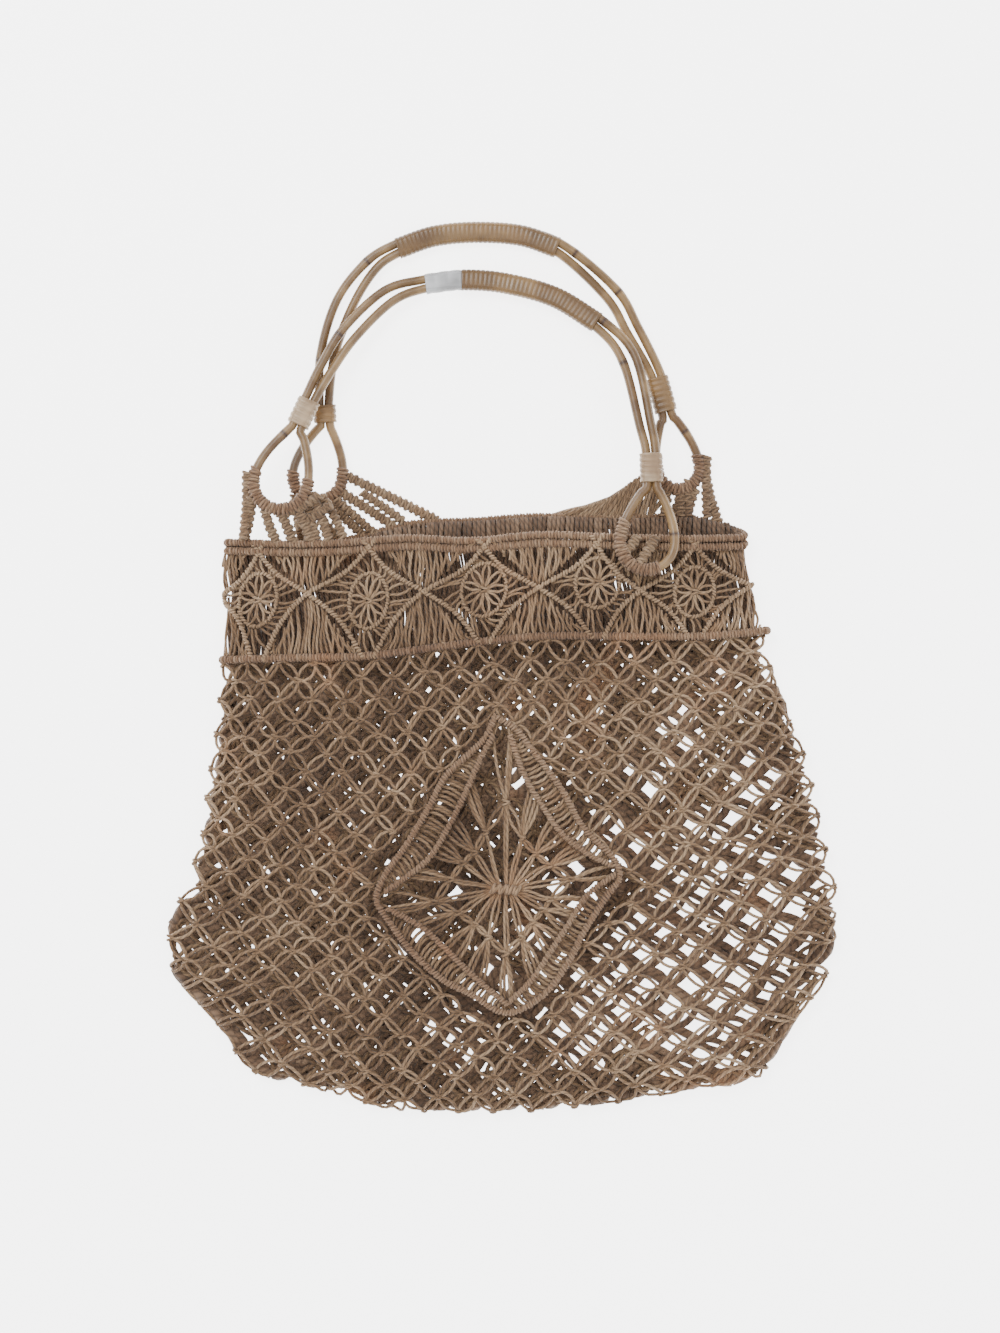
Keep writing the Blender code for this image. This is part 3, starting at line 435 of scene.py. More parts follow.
class Cords:
    """A mesh of many cords: round tubes with their twist and their tone kept on the points."""

    def __init__(self):
        self.points, self.quads, self.ends = [], [], []
        self.twist, self.tones, self.count = [], [], 0

    def store(self, mesh, here, ahead, low, high, tones):
        """Keep a tube's points, faces and tones, and how far its twist runs over each face."""
        corners = here.shape[-1]
        around = np.broadcast_to(np.arange(corners) / corners, here.shape)
        after = around + 1 / corners
        quads = np.stack((here, np.roll(here, -1, -1), np.roll(ahead, -1, -1), ahead), -1)
        twist = np.stack((low, around, low, after, high, after, high, around), -1)
        self.points.append(mesh.reshape(-1, 3))
        self.quads.append(quads.reshape(-1, 4))
        self.twist.append(twist.reshape(-1, 2))
        self.tones.append(tones)
        self.count += len(tones)

    def add(self, paths, normals, radius=CORD_RADIUS, sides=CORD_SIDES, closed=False,
            tone=None, flat=1.0, pitch=CORD_PITCH):
        """Add cords of equal point counts; normals say which way is up along each of them."""
        paths = np.asarray(paths, float)
        if paths.ndim == 2:
            paths = paths[None]
        many, steps = paths.shape[:2]
        normals = np.broadcast_to(np.asarray(normals, float), paths.shape)
        radius = np.broadcast_to(np.asarray(radius, float), (many, steps))
        aside, upward, _ = axes_along(paths, normals, closed)
        angle = circle(sides)
        offset = (
            aside[:, :, None, :] * np.cos(angle)[None, None, :, None]
            + upward[:, :, None, :] * np.sin(angle)[None, None, :, None] * flat
        )
        mesh = paths[:, :, None, :] + offset * radius[:, :, None, None]
        length = np.zeros((many, steps + 1))
        gaps = np.linalg.norm(np.diff(paths, axis=1), axis=2)
        length[:, 1:steps] = np.cumsum(gaps, 1)
        last = np.linalg.norm(paths[:, 0] - paths[:, -1], axis=1)
        length[:, steps] = length[:, steps - 1] + last
        index = self.count + np.arange(many * steps * sides).reshape(many, steps, sides)
        ahead = np.roll(index, -1, 1) if closed else index[:, 1:]
        here = index if closed else index[:, :-1]
        rows = here.shape[1]
        low = length[:, :rows, None] / pitch
        high = length[:, 1:rows + 1, None] / pitch
        start = np.broadcast_to(low + rng.random((many, 1, 1)), here.shape)
        end = start + np.broadcast_to(high - low, here.shape)
        if not closed:
            self.ends.append(index[:, 0, ::-1])
            self.ends.append(index[:, -1])
        tone = np.asarray(rng.random(many) if tone is None else tone, float)
        if tone.ndim < 2:
            tone = tone.reshape(-1, 1)
        tone = np.broadcast_to(tone, (many, steps))
        self.store(mesh, here, ahead, start, end, np.repeat(tone.reshape(-1), sides))

    def loft(self, path, aside, upward, section):
        """Add one closed body along a path; section has two offsets for each of its corners."""
        steps, corners = section.shape[:2]
        mesh = (path[:, None] + aside[:, None] * section[:, :, 0:1]
                + upward[:, None] * section[:, :, 1:2])
        index = self.count + np.arange(steps * corners).reshape(steps, corners)
        here, ahead = index[:-1], index[1:]
        length = running_length(path)
        low = np.broadcast_to(length[:-1, None] / STRIP_PITCH, here.shape)
        high = np.broadcast_to(length[1:, None] / STRIP_PITCH, here.shape)
        self.ends.append(index[:1, ::-1])
        self.ends.append(index[-1:])
        self.store(mesh, here, ahead, low, high, np.full(steps * corners, STRIP_TONE))

    def finish(self, name, material, slot, *nodes):
        """Make the object, let it stand for its nodes and ride on the bag."""
        points = np.concatenate(self.points)
        faces = np.concatenate(self.quads).tolist()
        twist = [np.concatenate(self.twist)]
        for group in self.ends:
            faces += group.tolist()
            twist.append(np.zeros((group.size, 2)))
        mesh = bpy.data.meshes.new(name)
        mesh.from_pydata(points.tolist(), [], faces)
        layer = mesh.uv_layers.new(name="cord")
        layer.data.foreach_set("uv", np.concatenate(twist).astype(np.float32).ravel())
        tones = mesh.attributes.new("tone", "FLOAT", "POINT")
        tones.data.foreach_set("value", np.concatenate(self.tones).astype(np.float32))
        mesh.shade_smooth()
        mesh.materials.append(material)
        thing = bpy.data.objects.new(name, mesh)
        bpy.context.scene.collection.objects.link(thing)
        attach(thing, "root")
        if nodes:
            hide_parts(*nodes)
        return thing


class Shade:
    """A Principled material and the nodes that feed it."""

    def __init__(self, name):
        self.material = bpy.data.materials.new(name)
        self.material.use_nodes = True
        self.tree = self.material.node_tree
        self.shader = self.tree.nodes["Principled BSDF"]

    def put(self, socket, value):
        """Link a socket to another one, or set its number."""
        if isinstance(value, bpy.types.NodeSocket):
            self.tree.links.new(value, socket)
        else:
            socket.default_value = value

    def math(self, operation, first, second=0.0):
        """A Math node."""
        node = self.tree.nodes.new("ShaderNodeMath")
        node.operation = operation
        self.put(node.inputs[0], first)
        self.put(node.inputs[1], second)
        return node.outputs[0]

    def mix(self, share, first, second, blend="MIX"):
        """A colour between two colours."""
        node = self.tree.nodes.new("ShaderNodeMix")
        node.data_type = "RGBA"
        node.blend_type = blend
        self.put(node.inputs[0], share)
        self.put(node.inputs[6], first)
        self.put(node.inputs[7], second)
        return node.outputs[2]

    def grey(self, value):
        """A colour whose three parts are one value."""
        node = self.tree.nodes.new("ShaderNodeCombineColor")
        for number in range(3):
            self.put(node.inputs[number], value)
        return node.outputs[0]

    def spread(self, value, low, high, to_low=0.0, to_high=1.0):
        """A value spread from one range to another, held at the ends."""
        node = self.tree.nodes.new("ShaderNodeMapRange")
        for number, entry in enumerate((value, low, high, to_low, to_high)):
            self.put(node.inputs[number], entry)
        return node.outputs[0]

    def place(self):
        """Coordinates on the object, in metres."""
        return self.tree.nodes.new("ShaderNodeTexCoord").outputs["Object"]

    def noise(self, scale, detail=2.0, at=None):
        """Noise of a scale, on the object or at other coordinates."""
        node = self.tree.nodes.new("ShaderNodeTexNoise")
        node.inputs["Scale"].default_value = scale
        node.inputs["Detail"].default_value = detail
        self.tree.links.new(at or self.place(), node.inputs["Vector"])
        return node.outputs["Fac"]

    def twist(self):
        """How far along its twist and how far round the cord a point is."""
        node = self.tree.nodes.new("ShaderNodeUVMap")
        node.uv_map = "cord"
        split = self.tree.nodes.new("ShaderNodeSeparateXYZ")
        self.tree.links.new(node.outputs[0], split.inputs[0])
        return split.outputs[0], split.outputs[1]

    def tone(self):
        """The cord's own tone, from 0 to 1."""
        node = self.tree.nodes.new("ShaderNodeAttribute")
        node.attribute_name = "tone"
        return node.outputs["Fac"]

    def finish(self, colour, roughness, height, depth, sheen=0.0):
        """Feed the shader and return the material."""
        self.put(self.shader.inputs["Base Color"], colour)
        self.put(self.shader.inputs["Roughness"], roughness)
        self.shader.inputs["Sheen Weight"].default_value = sheen
        self.shader.inputs["Sheen Roughness"].default_value = 0.6
        bump = self.tree.nodes.new("ShaderNodeBump")
        bump.inputs["Strength"].default_value = 1.0
        bump.inputs["Distance"].default_value = depth
        self.put(bump.inputs["Height"], height)
        self.tree.links.new(bump.outputs[0], self.shader.inputs["Normal"])
        return self.material


# Finishes: a darker, a middle and a lighter colour, and how strongly the stains show
Finish = namedtuple("Finish", "name dark middle light stain")
SISAL_FINISHES = {
    "net": Finish("sisal_net", (0.085, 0.040, 0.014), (0.245, 0.145, 0.074),
                  (0.440, 0.300, 0.178), 0.25),
    # net_inner and net_back are the sisal of net in darker colours: painted shade for the cords
    # that lie behind the front wall
    "net_inner": Finish("sisal_net_inner_painted_shade", (0.065, 0.030, 0.012), (0.170, 0.098, 0.048),
                        (0.330, 0.215, 0.120), 0.25),
    "net_back": Finish("sisal_net_back_painted_shade", (0.060, 0.031, 0.016), (0.156, 0.090, 0.051),
                       (0.290, 0.186, 0.115), 0.30),
    "bars": Finish("sisal_bars", (0.120, 0.058, 0.028), (0.225, 0.125, 0.066),
                   (0.340, 0.220, 0.130), 0.30),
    "straps": Finish("sisal_straps", (0.110, 0.058, 0.028), (0.220, 0.135, 0.072),
                     (0.350, 0.240, 0.145), 0.25),
}
CANE_FINISHES = {
    "cane": Finish("rattan_cane", (0.070, 0.026, 0.006), (0.118, 0.063, 0.021),
                   (0.260, 0.157, 0.064), 0.75),
    "binding": Finish("rattan_binding", (0.078, 0.034, 0.009), (0.122, 0.064, 0.020),
                      (0.215, 0.122, 0.044), 0.60),
    "binding_pale": Finish("rattan_binding_pale", (0.150, 0.085, 0.042), (0.270, 0.175, 0.098),
                           (0.450, 0.335, 0.215), 0.45),
    "tape": Finish("binding_tape", (0.200, 0.195, 0.190), (0.340, 0.342, 0.350),
                   (0.480, 0.486, 0.500), 0.40),
}
SISAL_STAIN = (0.42, 0.20, 0.09, 1.0)
# Colour of the canes' growth rings and stains, and of the painted shade between two canes
RING_STAIN_AND_SHADE = (0.035, 0.014, 0.007, 1.0)
SISAL_PLIES = 2.0
SISAL_RELIEF = 0.00035
CANE_RELIEF = 0.00012

# Noise scales, in waves per metre
FIBRE_SCALE = 2600.0
WEAR_SCALE = 11.0
PATCH_SCALE = 60.0
STAIN_SCALE = 24.0
HONEY_SCALE = 34.0
BLOTCH_SCALE = 30.0
PORE_SCALE = 900.0


def opaque(finish):
    """The three colours of a finish with their alpha."""
    return [(*colour, 1.0) for colour in (finish.dark, finish.middle, finish.light)]


def sisal_material(finish):
    """Twisted sisal: two plies with painted shade in the grooves between them, coarse fibres, worn
    lighter in places and stained in others.
    """
    shade = Shade(finish.name)
    dark, middle, light = opaque(finish)
    along, around = shade.twist()
    turn = shade.math("ADD", along, shade.math("MULTIPLY", around, SISAL_PLIES))
    lay = shade.math("SINE", shade.math("MULTIPLY", turn, math.tau))
    lay = shade.math("MULTIPLY_ADD", lay, 0.5)
    lay.node.inputs[2].default_value = 0.5
    fibre = shade.noise(FIBRE_SCALE, 3.0)
    broad = shade.spread(shade.noise(WEAR_SCALE, 3.0), 0.36, 0.64)
    patch = shade.spread(shade.noise(PATCH_SCALE), 0.35, 0.65)
    tone = shade.math("ADD", shade.math("MULTIPLY", shade.tone(), 0.45),
                      shade.math("MULTIPLY", broad, 0.35))
    tone = shade.math("ADD", tone, shade.math("MULTIPLY", patch, 0.20))
    colour = shade.mix(shade.spread(tone, 0.0, 0.5), dark, middle)
    colour = shade.mix(shade.spread(tone, 0.5, 1.0), colour, light)
    stained = shade.spread(shade.noise(STAIN_SCALE), 0.60, 0.72, 0.0, finish.stain)
    colour = shade.mix(stained, colour, SISAL_STAIN)
    # Painted shade: the grooves between the two plies are coloured darker.
    groove_painted_shade = shade.spread(lay, 0.0, 0.55, 0.55, 1.0)
    speck = shade.spread(fibre, 0.3, 0.7, 0.82, 1.12)
    colour = shade.mix(1.0, colour, shade.grey(shade.math("MULTIPLY", groove_painted_shade, speck)), "MULTIPLY")
    height = shade.math("ADD", lay, shade.math("MULTIPLY", fibre, 0.5))
    roughness = shade.spread(fibre, 0.3, 0.7, 0.78, 0.95)
    return shade.finish(colour, roughness, height, SISAL_RELIEF, sheen=0.12)


def cane_material(finish):
    """Rattan cane: fine lines along it, honey stains, a satin skin."""
    shade = Shade(finish.name)
    dark, middle, light = opaque(finish)
    along, around = shade.twist()
    strip = shade.tree.nodes.new("ShaderNodeCombineXYZ")
    shade.put(strip.inputs[0], shade.math("MULTIPLY", along, 0.5))
    shade.put(strip.inputs[1], shade.math("MULTIPLY", around, 14.0))
    grain = shade.noise(2.0, 4.0, strip.outputs[0])
    broad = shade.noise(HONEY_SCALE, 4.0)
    blotch = shade.spread(shade.noise(BLOTCH_SCALE, 4.0), 0.52, 0.66)
    colour = shade.mix(shade.spread(broad, 0.42, 0.58), middle, light)
    colour = shade.mix(shade.math("MULTIPLY", blotch, finish.stain), colour, dark)
    # Growth rings, stains and the painted shade between the canes darken towards one colour.
    colour = shade.mix(shade.spread(shade.tone(), 0.5, 1.0), colour, RING_STAIN_AND_SHADE)
    lines = shade.spread(grain, 0.35, 0.65, 0.80, 1.08)
    colour = shade.mix(1.0, colour, shade.grey(lines), "MULTIPLY")
    shade.shader.inputs["Coat Weight"].default_value = 0.10
    shade.shader.inputs["Coat Roughness"].default_value = 0.25
    height = shade.math("ADD", grain, shade.math("MULTIPLY", shade.noise(PORE_SCALE), 0.4))
    roughness = shade.spread(grain, 0.3, 0.7, 0.34, 0.50)
    return shade.finish(colour, roughness, height, CANE_RELIEF)


def make_materials():
    """Every finish of the bag, by a plain name."""
    materials = {name: sisal_material(finish) for name, finish in SISAL_FINISHES.items()}
    for name, finish in CANE_FINISHES.items():
        materials[name] = cane_material(finish)
    return materials


# The net's lattice: how the columns fan out and the rows sag towards the base
NET_MIDDLE = -0.0035
NET_HALF_WIDTH = 0.1695
NET_SKEW = 0.0105         # how much wider the columns stand on the right than on the left
NET_FAN = 0.060
NET_DROP = 0.2640
NET_SMILE = 0.0285
NET_SWAY = 0.0020         # how far the lattice wanders from an even one
NET_EXTRA_ROWS = 4
NET_EXTRA_COLUMNS = 3
LINK_STEPS = 6
LINK_BOW = 0.0021
LINK_BOW_SPREAD = 0.30
LINK_LEAN = 0.0008
LINK_APART = 0.0005       # from the line between two knots to each cord of a pair
LINK_RISE = 0.0004        # one cord of a pair bows up and the other one down
LIFT_SPREAD = 0.0003      # how unevenly high the cords lie
FINE_LIFT_SPREAD = 0.0002
KNOT_RADIUS = 0.0014
KNOT_SPREAD = 0.12
KNOT_WIDE = 1.35
KNOT_TALL = 0.75
KNOT_SLANT = 0.0006
KNOT_WRAPS_APART = 0.0009  # from a knot's middle to each of its wraps
KNOT_LIFT = 0.0003

# Walls of the net. The back one has a second layer of finer turns in front of it, where it
# lies close. Narrowing thins the cords where the wall is open.
# The back wall and its inner turns take the darker finishes net_back and net_inner: painted shade
# behind the front wall.
NET_WALLS = table(
    "Wall", "name side finish phase keep_edge lift radius narrowing most_open",
    ("net_front", "front", "net", 0.0, -0.0085, 0.0, CORD_RADIUS, 0.0, 1.0),
    ("net_back", "back", "net_back", 0.27, -0.0040, -0.0023, 0.0032, 0.34, 1.0),
    ("net_inner_turns", "back", "net_inner", 0.77, -0.0040, -0.0052, 0.0015, 0.20, 0.45))

# Openness of the cords behind the front wall, which grows to the right and downwards
OPEN_START = -0.17
OPEN_RIGHT = 1.4          # what the body's width adds
OPEN_LEVEL = 0.08         # from the height that it starts at up to the frame's middle
OPEN_RIPPLE = 0.45
OPEN_EDGE = 1.3           # what the folds take away
OPEN_EDGE_REACH = 0.016
OPEN_GAIN = 1.8


def lattice_place(column, row):
    """Plan place of the net's lattice: column from -8 to 8, row in half rows from the waist."""
    c = column / (COLUMNS / 2)
    r = row / HALF_ROWS
    x = NET_MIDDLE + NET_HALF_WIDTH * c + NET_SKEW * (c * c - 1)
    x += NET_FAN * c * abs(c) * r ** 1.5
    top = waist_y(min(max(c, -1.0), 1.0)) - BAR_RADIUS
    y = top - NET_DROP * r - NET_SMILE * r ** 0.7 * (1 - c * c)
    sway = NET_SWAY * math.sin(x * 47 + y * 29 + 1.0) * min(1.0, r * 6)
    stretch = NET_SWAY * math.sin(x * 33 - y * 51 + 2.0) * min(1.0, r * 6)
    return np.array((x + sway, y + stretch))


def inside_polygon(plan, polygon):
    """Which plan points lie inside a polygon."""
    x, y = plan[:, 0:1], plan[:, 1:2]
    x0, y0 = polygon[None, :, 0], polygon[None, :, 1]
    x1, y1 = np.roll(x0, -1, 1), np.roll(y0, -1, 1)
    crossing = (y0 > y) != (y1 > y)
    where = (x1 - x0) * (y - y0) / np.where(y1 == y0, 1e-9, y1 - y0) + x0
    return (crossing & (x < where)).sum(1) % 2 == 1


def openness(plan):
    """How far apart the cords behind the front wall lie: 0 where close, 1 where open."""
    x, y = plan[:, 0], plan[:, 1]
    share = OPEN_START + x / BODY_WIDTH * OPEN_RIGHT - (y + OPEN_LEVEL) / BODY_HEIGHT
    ripple = OPEN_RIPPLE * np.sin(x * 83 + y * 37) * np.sin(y * 97 - 1.0)
    edge = OPEN_EDGE * np.exp(-np.maximum(edge_distance(plan)[0], 0) / OPEN_EDGE_REACH)
    return np.clip((share + ripple - edge) * OPEN_GAIN, 0, 1)


def lattice_knots(wall, hole):
    """Plan places of the knots that a wall keeps, by their column and row."""
    spots = {}
    last = COLUMNS + NET_EXTRA_COLUMNS
    for row in range(HALF_ROWS + NET_EXTRA_ROWS):
        for number in range(-last, last + 1):
            if (number + row) % 2 == 0:
                spots[number, row] = lattice_place(number / 2 + wall.phase, row)
    plan = np.array(list(spots.values()))
    plan += rng.normal(0, NET_JITTER, plan.shape)
    kept = (edge_distance(plan)[0] > wall.keep_edge) & (openness(plan) <= wall.most_open)
    if hole is not None:
        kept &= ~inside_polygon(plan, hole)
    return {name: spot for name, spot, good in zip(spots, plan, kept) if good}


def make_net_wall(wall, hole=None):
    """One wall of the net: a knot at each crossing, pairs of bowed cords between them."""
    cords = Cords()
    place = lattice_knots(wall, hole)
    links = []
    for (number, row), spot in place.items():
        for side in (-1, 1):
            if (number + side, row + 1) in place:
                links.append((spot, place[number + side, row + 1]))
    start = np.array([link[0] for link in links])
    run = np.array([link[1] for link in links]) - start
    ahead = run / np.linalg.norm(run, axis=1, keepdims=True)
    aside = np.column_stack((-ahead[:, 1], ahead[:, 0]))
    t = np.linspace(0, 1, LINK_STEPS)
    swell = np.sin(math.pi * t)[None] ** 0.8
    each = (len(links), 1)
    thickness = wall.radius * (1 - wall.narrowing * openness(start))[:, None]
    sides = CORD_SIDES if wall.side == "front" else CORD_SIDES - 1
    for way in (-1, 1):
        bow = LINK_BOW * (1 + LINK_BOW_SPREAD * rng.normal(size=each))
        lean = LINK_LEAN * rng.normal(size=each)
        offset = way * (LINK_APART + bow * swell) + lean * swell
        path = start[:, None] + run[:, None] * t[None, :, None] + aside[:, None] * offset[..., None]
        lift = wall.lift + rng.normal(0, LIFT_SPREAD, each) + LINK_RISE * swell * way
        points, normals = on_wall(path.reshape(-1, 2), wall.side, lift.ravel())
        cords.add(points.reshape(len(links), -1, 3), normals.reshape(len(links), -1, 3),
                  radius=thickness, sides=sides)
    knots = np.array(list(place.values()))
    tie_knots(cords, *on_wall(knots, wall.side, wall.lift + KNOT_LIFT))
    return cords


def add_rings(cords, middles, start, axes, reaches, count, radius, tone=None):
    """Add a ring of cord round each middle: reaches are across, upwards and of its slant."""
    angle = circle(count)
    ring = start
    for axis, wave, reach in zip(axes, (np.cos, np.sin, np.cos), reaches):
        ring = ring + axis[:, None] * wave(angle)[None, :, None] * reach
    cords.add(ring, unit(ring - middles[:, None]), radius, sides=RING_SIDES, closed=True,
              tone=tone)


def tie_knots(cords, points, normals, apart=KNOT_WRAPS_APART):
    """Two wraps of cord round each knot, above and below its middle."""
    down = np.broadcast_to((0.0, -1.0, 0.0), points.shape)
    right = unit(np.cross(down, normals))
    down = unit(np.cross(normals, right))
    for way in (-1, 1):
        size = KNOT_RADIUS * (1 + KNOT_SPREAD * rng.normal(size=(len(points), 1, 1)))
        start = points[:, None] + down[:, None] * way * apart
        reaches = (size * KNOT_WIDE, size * KNOT_TALL, way * KNOT_SLANT)
        add_rings(cords, points, start, (right, normals, down), reaches, 8, FINE_CORD_RADIUS)


def hitched_bar(cords, path, normals, radius, closed=False, pitch=HITCH_PITCH, slant=HITCH_SLANT,
                cord=FINE_CORD_RADIUS, tone=None):
    """A bar of cord: a core with hitch after hitch of thinner cord round it."""
    up = np.broadcast_to(np.asarray(normals, float), path.shape)
    if closed:
        path, up = np.vstack((path, path[:1])), np.vstack((up, up[:1]))
    count = max(4, int(path_length(path) / pitch))
    fine = resample(path, count + 1)
    fine_up = unit(resample(path, count + 1, up))
    if closed:
        fine, fine_up = fine[:-1], fine_up[:-1]
    # The core takes a dark tone: painted shade between the hitches.
    cords.add(fine, fine_up, radius - cord, closed=closed, tone=CORE_PAINTED_SHADE_TONE)
    axes = axes_along(fine, fine_up, closed)
    each = (len(fine), 1, 1)
    reach = radius - cord + HITCH_SPREAD * cord * rng.normal(size=each)
    start = fine[:, None] + alternate(len(fine)) * axes[2][:, None] * pitch * HITCH_PAIRING
    tilt = slant * (1 + SLANT_SPREAD * rng.normal(size=each))
    add_rings(cords, fine, start, axes, (reach, reach, tilt), 9, cord, tone)


def bar_path(share, drop):
    """Closed path of a bar round the mouth."""
    points = []
    for layer, way in (("front", 1), ("back", -1)):
        for i in range(BAR_STEPS + 1):
            points.append(ring_point(way * (2 * i / BAR_STEPS - 1), layer, share, drop))
        points.append(bar_turn(way, share, drop))
    return as_array(points)


def bar_turn(end, share, drop):
    """The point between front and back where a bar turns round the side."""
    middle = (ring_point(end, "front", share, drop) + ring_point(end, "back", share, drop)) / 2
    middle.x += end * EDGE_LOFT * TURN_BULGE
    return middle


def make_bars(materials):
    """The two hitched bars of the rim and the one at the waist."""
    second = BAR_DIAMETER + BAR_GAP
    for name, share, drop in (("rim_bar_upper", 0.0, 0.0), ("rim_bar_lower", 0.0, second),
                              ("waist_bar", 1.0, 0.0)):
        path = bar_path(share, drop)
        cords = Cords()
        hitched_bar(cords, path, (0.0, 1.0, 0.0), BAR_RADIUS + HITCH_SWELL, closed=True)
        cords.finish(name + "_hitches", materials["bars"], "sisal_bars", name)


# Band of wheels: middle of each wheel, half its sizes and its turn in degrees, and the
# crossings between them and at the two ends, in pixels
WHEELS = table(
    "Wheel", "px py wide tall turn",
    (258, 600, 19, 27, -12), (369, 601, 19, 28, -8), (484, 590, 22, 27, -18),
    (597, 583, 22, 25, -10), (694, 592, 20, 25, -8))
WHEEL_MIDDLES = pixel_path((wheel.px, wheel.py) for wheel in WHEELS)
CROSSINGS = pixel_path(
    ((222, 596), (308, 594), (424, 592), (538, 588), (640, 591), (750, 586)))
BAND_LEFT = side_x(WAIST_DOWN / 2, -1)
BAND_RIGHT = side_x(WAIST_DOWN / 2, 1)
BAND_OVERHANG = 0.006     # how far past the folds the front strands go
BAND_SPACING = 0.0025
BAND_PULL = 0.16          # how far the strands lean to the crossing
BAND_WAVE = 0.0010
RIDGE_RADIUS = 0.0018
RIDGE_LIFT = 0.0026
RIDGE_TONE = 0.8
BAND_RIDGE_TONE = 0.95
RIDGE_SHIFT = 0.0035      # from a wheel's middle to where a ridge meets a bar
RIDGE_BEND = (0.42, 0.58)
RIDGE_SWING = 0.16
WHEEL_RADIUS = 0.0015
WHEEL_LIFT = 0.0017
WHEEL_KNOT_LIFT = 0.0012
WHEEL_WRAPS_APART = 0.0010
SPOKES = 9                # pairs of strands from a wheel's middle to its ring
SPOKE_SPREAD = 0.06       # in radians
SPOKE_LIFT = 0.0010
SPOKE_BOW = 0.0019
SPOKE_APART = 0.0002
LENS_STRANDS = 30         # strands from a wheel's ring to the ridges round it
LENS_REACH = 0.060        # a longer one would pass between two ridges
BACK_SPACING = 0.0029
BACK_WAVE = 0.0022
PLACE_SPREAD = 0.0003     # how unevenly the back strands stand
BACK_CORD_RADIUS = 0.0014
BACK_NARROWING = 0.45
BACK_LAYERS = table("BandLayer", "lift phase", (-0.0010, 0.0), (-0.0040, 0.5))
BACK_RIDGE_LIFT = -0.0030
BACK_RIDGE_SHIFT = 0.019
BACK_RIDGE_END = 0.012    # a ridge that comes this near to the right fold is left out


def band_limits(x, layer):
    """Height along the bag of the bars that a place of the band hangs between."""
    across = 2 * (x - BAND_LEFT) / (BAND_RIGHT - BAND_LEFT) - 1
    across = min(max(across, -1.0), 1.0)
    return rim_y(across, layer), waist_y(across) + BAR_RADIUS - UNDER_BAR


def add_on_wall(cords, plan, layer="front", lift=0.0, **looks):
    """Lay one cord on a wall along a plan path."""
    points, normals = on_wall(plan, layer, lift)
    cords.add(points, normals, **looks)


def band_ridges(layer):
    """Plan paths of the hitched ridges that cross between the wheels."""
    ridges = []
    near, far = RIDGE_BEND
    for number, crossing in enumerate(CROSSINGS):
        for way in (1, -1):
            path = [crossing]
            for side, wheel in ((-1, number - 1), (1, number)):
                if not 0 <= wheel < len(WHEELS):
                    continue
                middle = WHEEL_MIDDLES[wheel]
                top, base = band_limits(middle[0], layer)
                height = top if side * way > 0 else base
                tip = np.array((middle[0] + RIDGE_SHIFT * way, height))
                bend = crossing * near + tip * far
                bend[1] += (crossing[1] - height) * RIDGE_SWING
                path = [tip, bend] + path if side < 0 else path + [bend, tip]
            ridges.append(smooth_path(path, 26))
    return ridges


def add_band_strands(cords, crossing, low, high):
    """Strands that hang from the bars between two wheels and lean to their crossing."""
    count = int((high - low) / BAND_SPACING)
    t = np.linspace(0, 1, 9)
    for i in range(count + 1):
        x = low + (high - low) * (i + 0.5) / (count + 1)
        share = (x - crossing[0]) / ((high if x > crossing[0] else low) - crossing[0])
        for end in band_limits(x, "front"):
            reach = crossing[1] + (end - crossing[1]) * abs(share) ** 1.15
            if abs(end - reach) < SHORTEST_STRAND:
                continue
            pull = (crossing[0] - x) * BAND_PULL + rng.normal(0, 0.0007)
            wave = BAND_WAVE * np.sin(2 * math.pi * (t + rng.random()))
            path = np.column_stack((x + pull * t + wave, end + (reach - end) * t))
            add_on_wall(cords, path, lift=rng.normal(0, 0.0004), radius=FINE_CORD_RADIUS,
                        tone=0.9 * rng.random())


def make_band_front(cords):
    """Wheels, crossing ridges and hanging strands of the band's front wall."""
    ridges = band_ridges("front")
    for ridge in ridges:
        points, normals = on_wall(ridge, "front", RIDGE_LIFT)
        hitched_bar(cords, points, normals, RIDGE_RADIUS, tone=BAND_RIDGE_TONE,
                    **RIDGE_HITCHES)
    stops = [BAND_LEFT - BAND_OVERHANG, *WHEEL_MIDDLES[:, 0], BAND_RIGHT + BAND_OVERHANG]
    for crossing, low, high in zip(CROSSINGS, stops, stops[1:]):
        add_band_strands(cords, crossing, low, high)
    walls = np.vstack(ridges)
    for wheel, middle in zip(WHEELS, WHEEL_MIDDLES):
        add_wheel(cords, wheel, middle, walls)


def heading(angle):
    """Unit vector of an angle in the plan."""
    return np.array((math.cos(angle), math.sin(angle)))


def to_left(way):
    """A plan vector turned to its left."""
    return np.array((-way[1], way[0]))


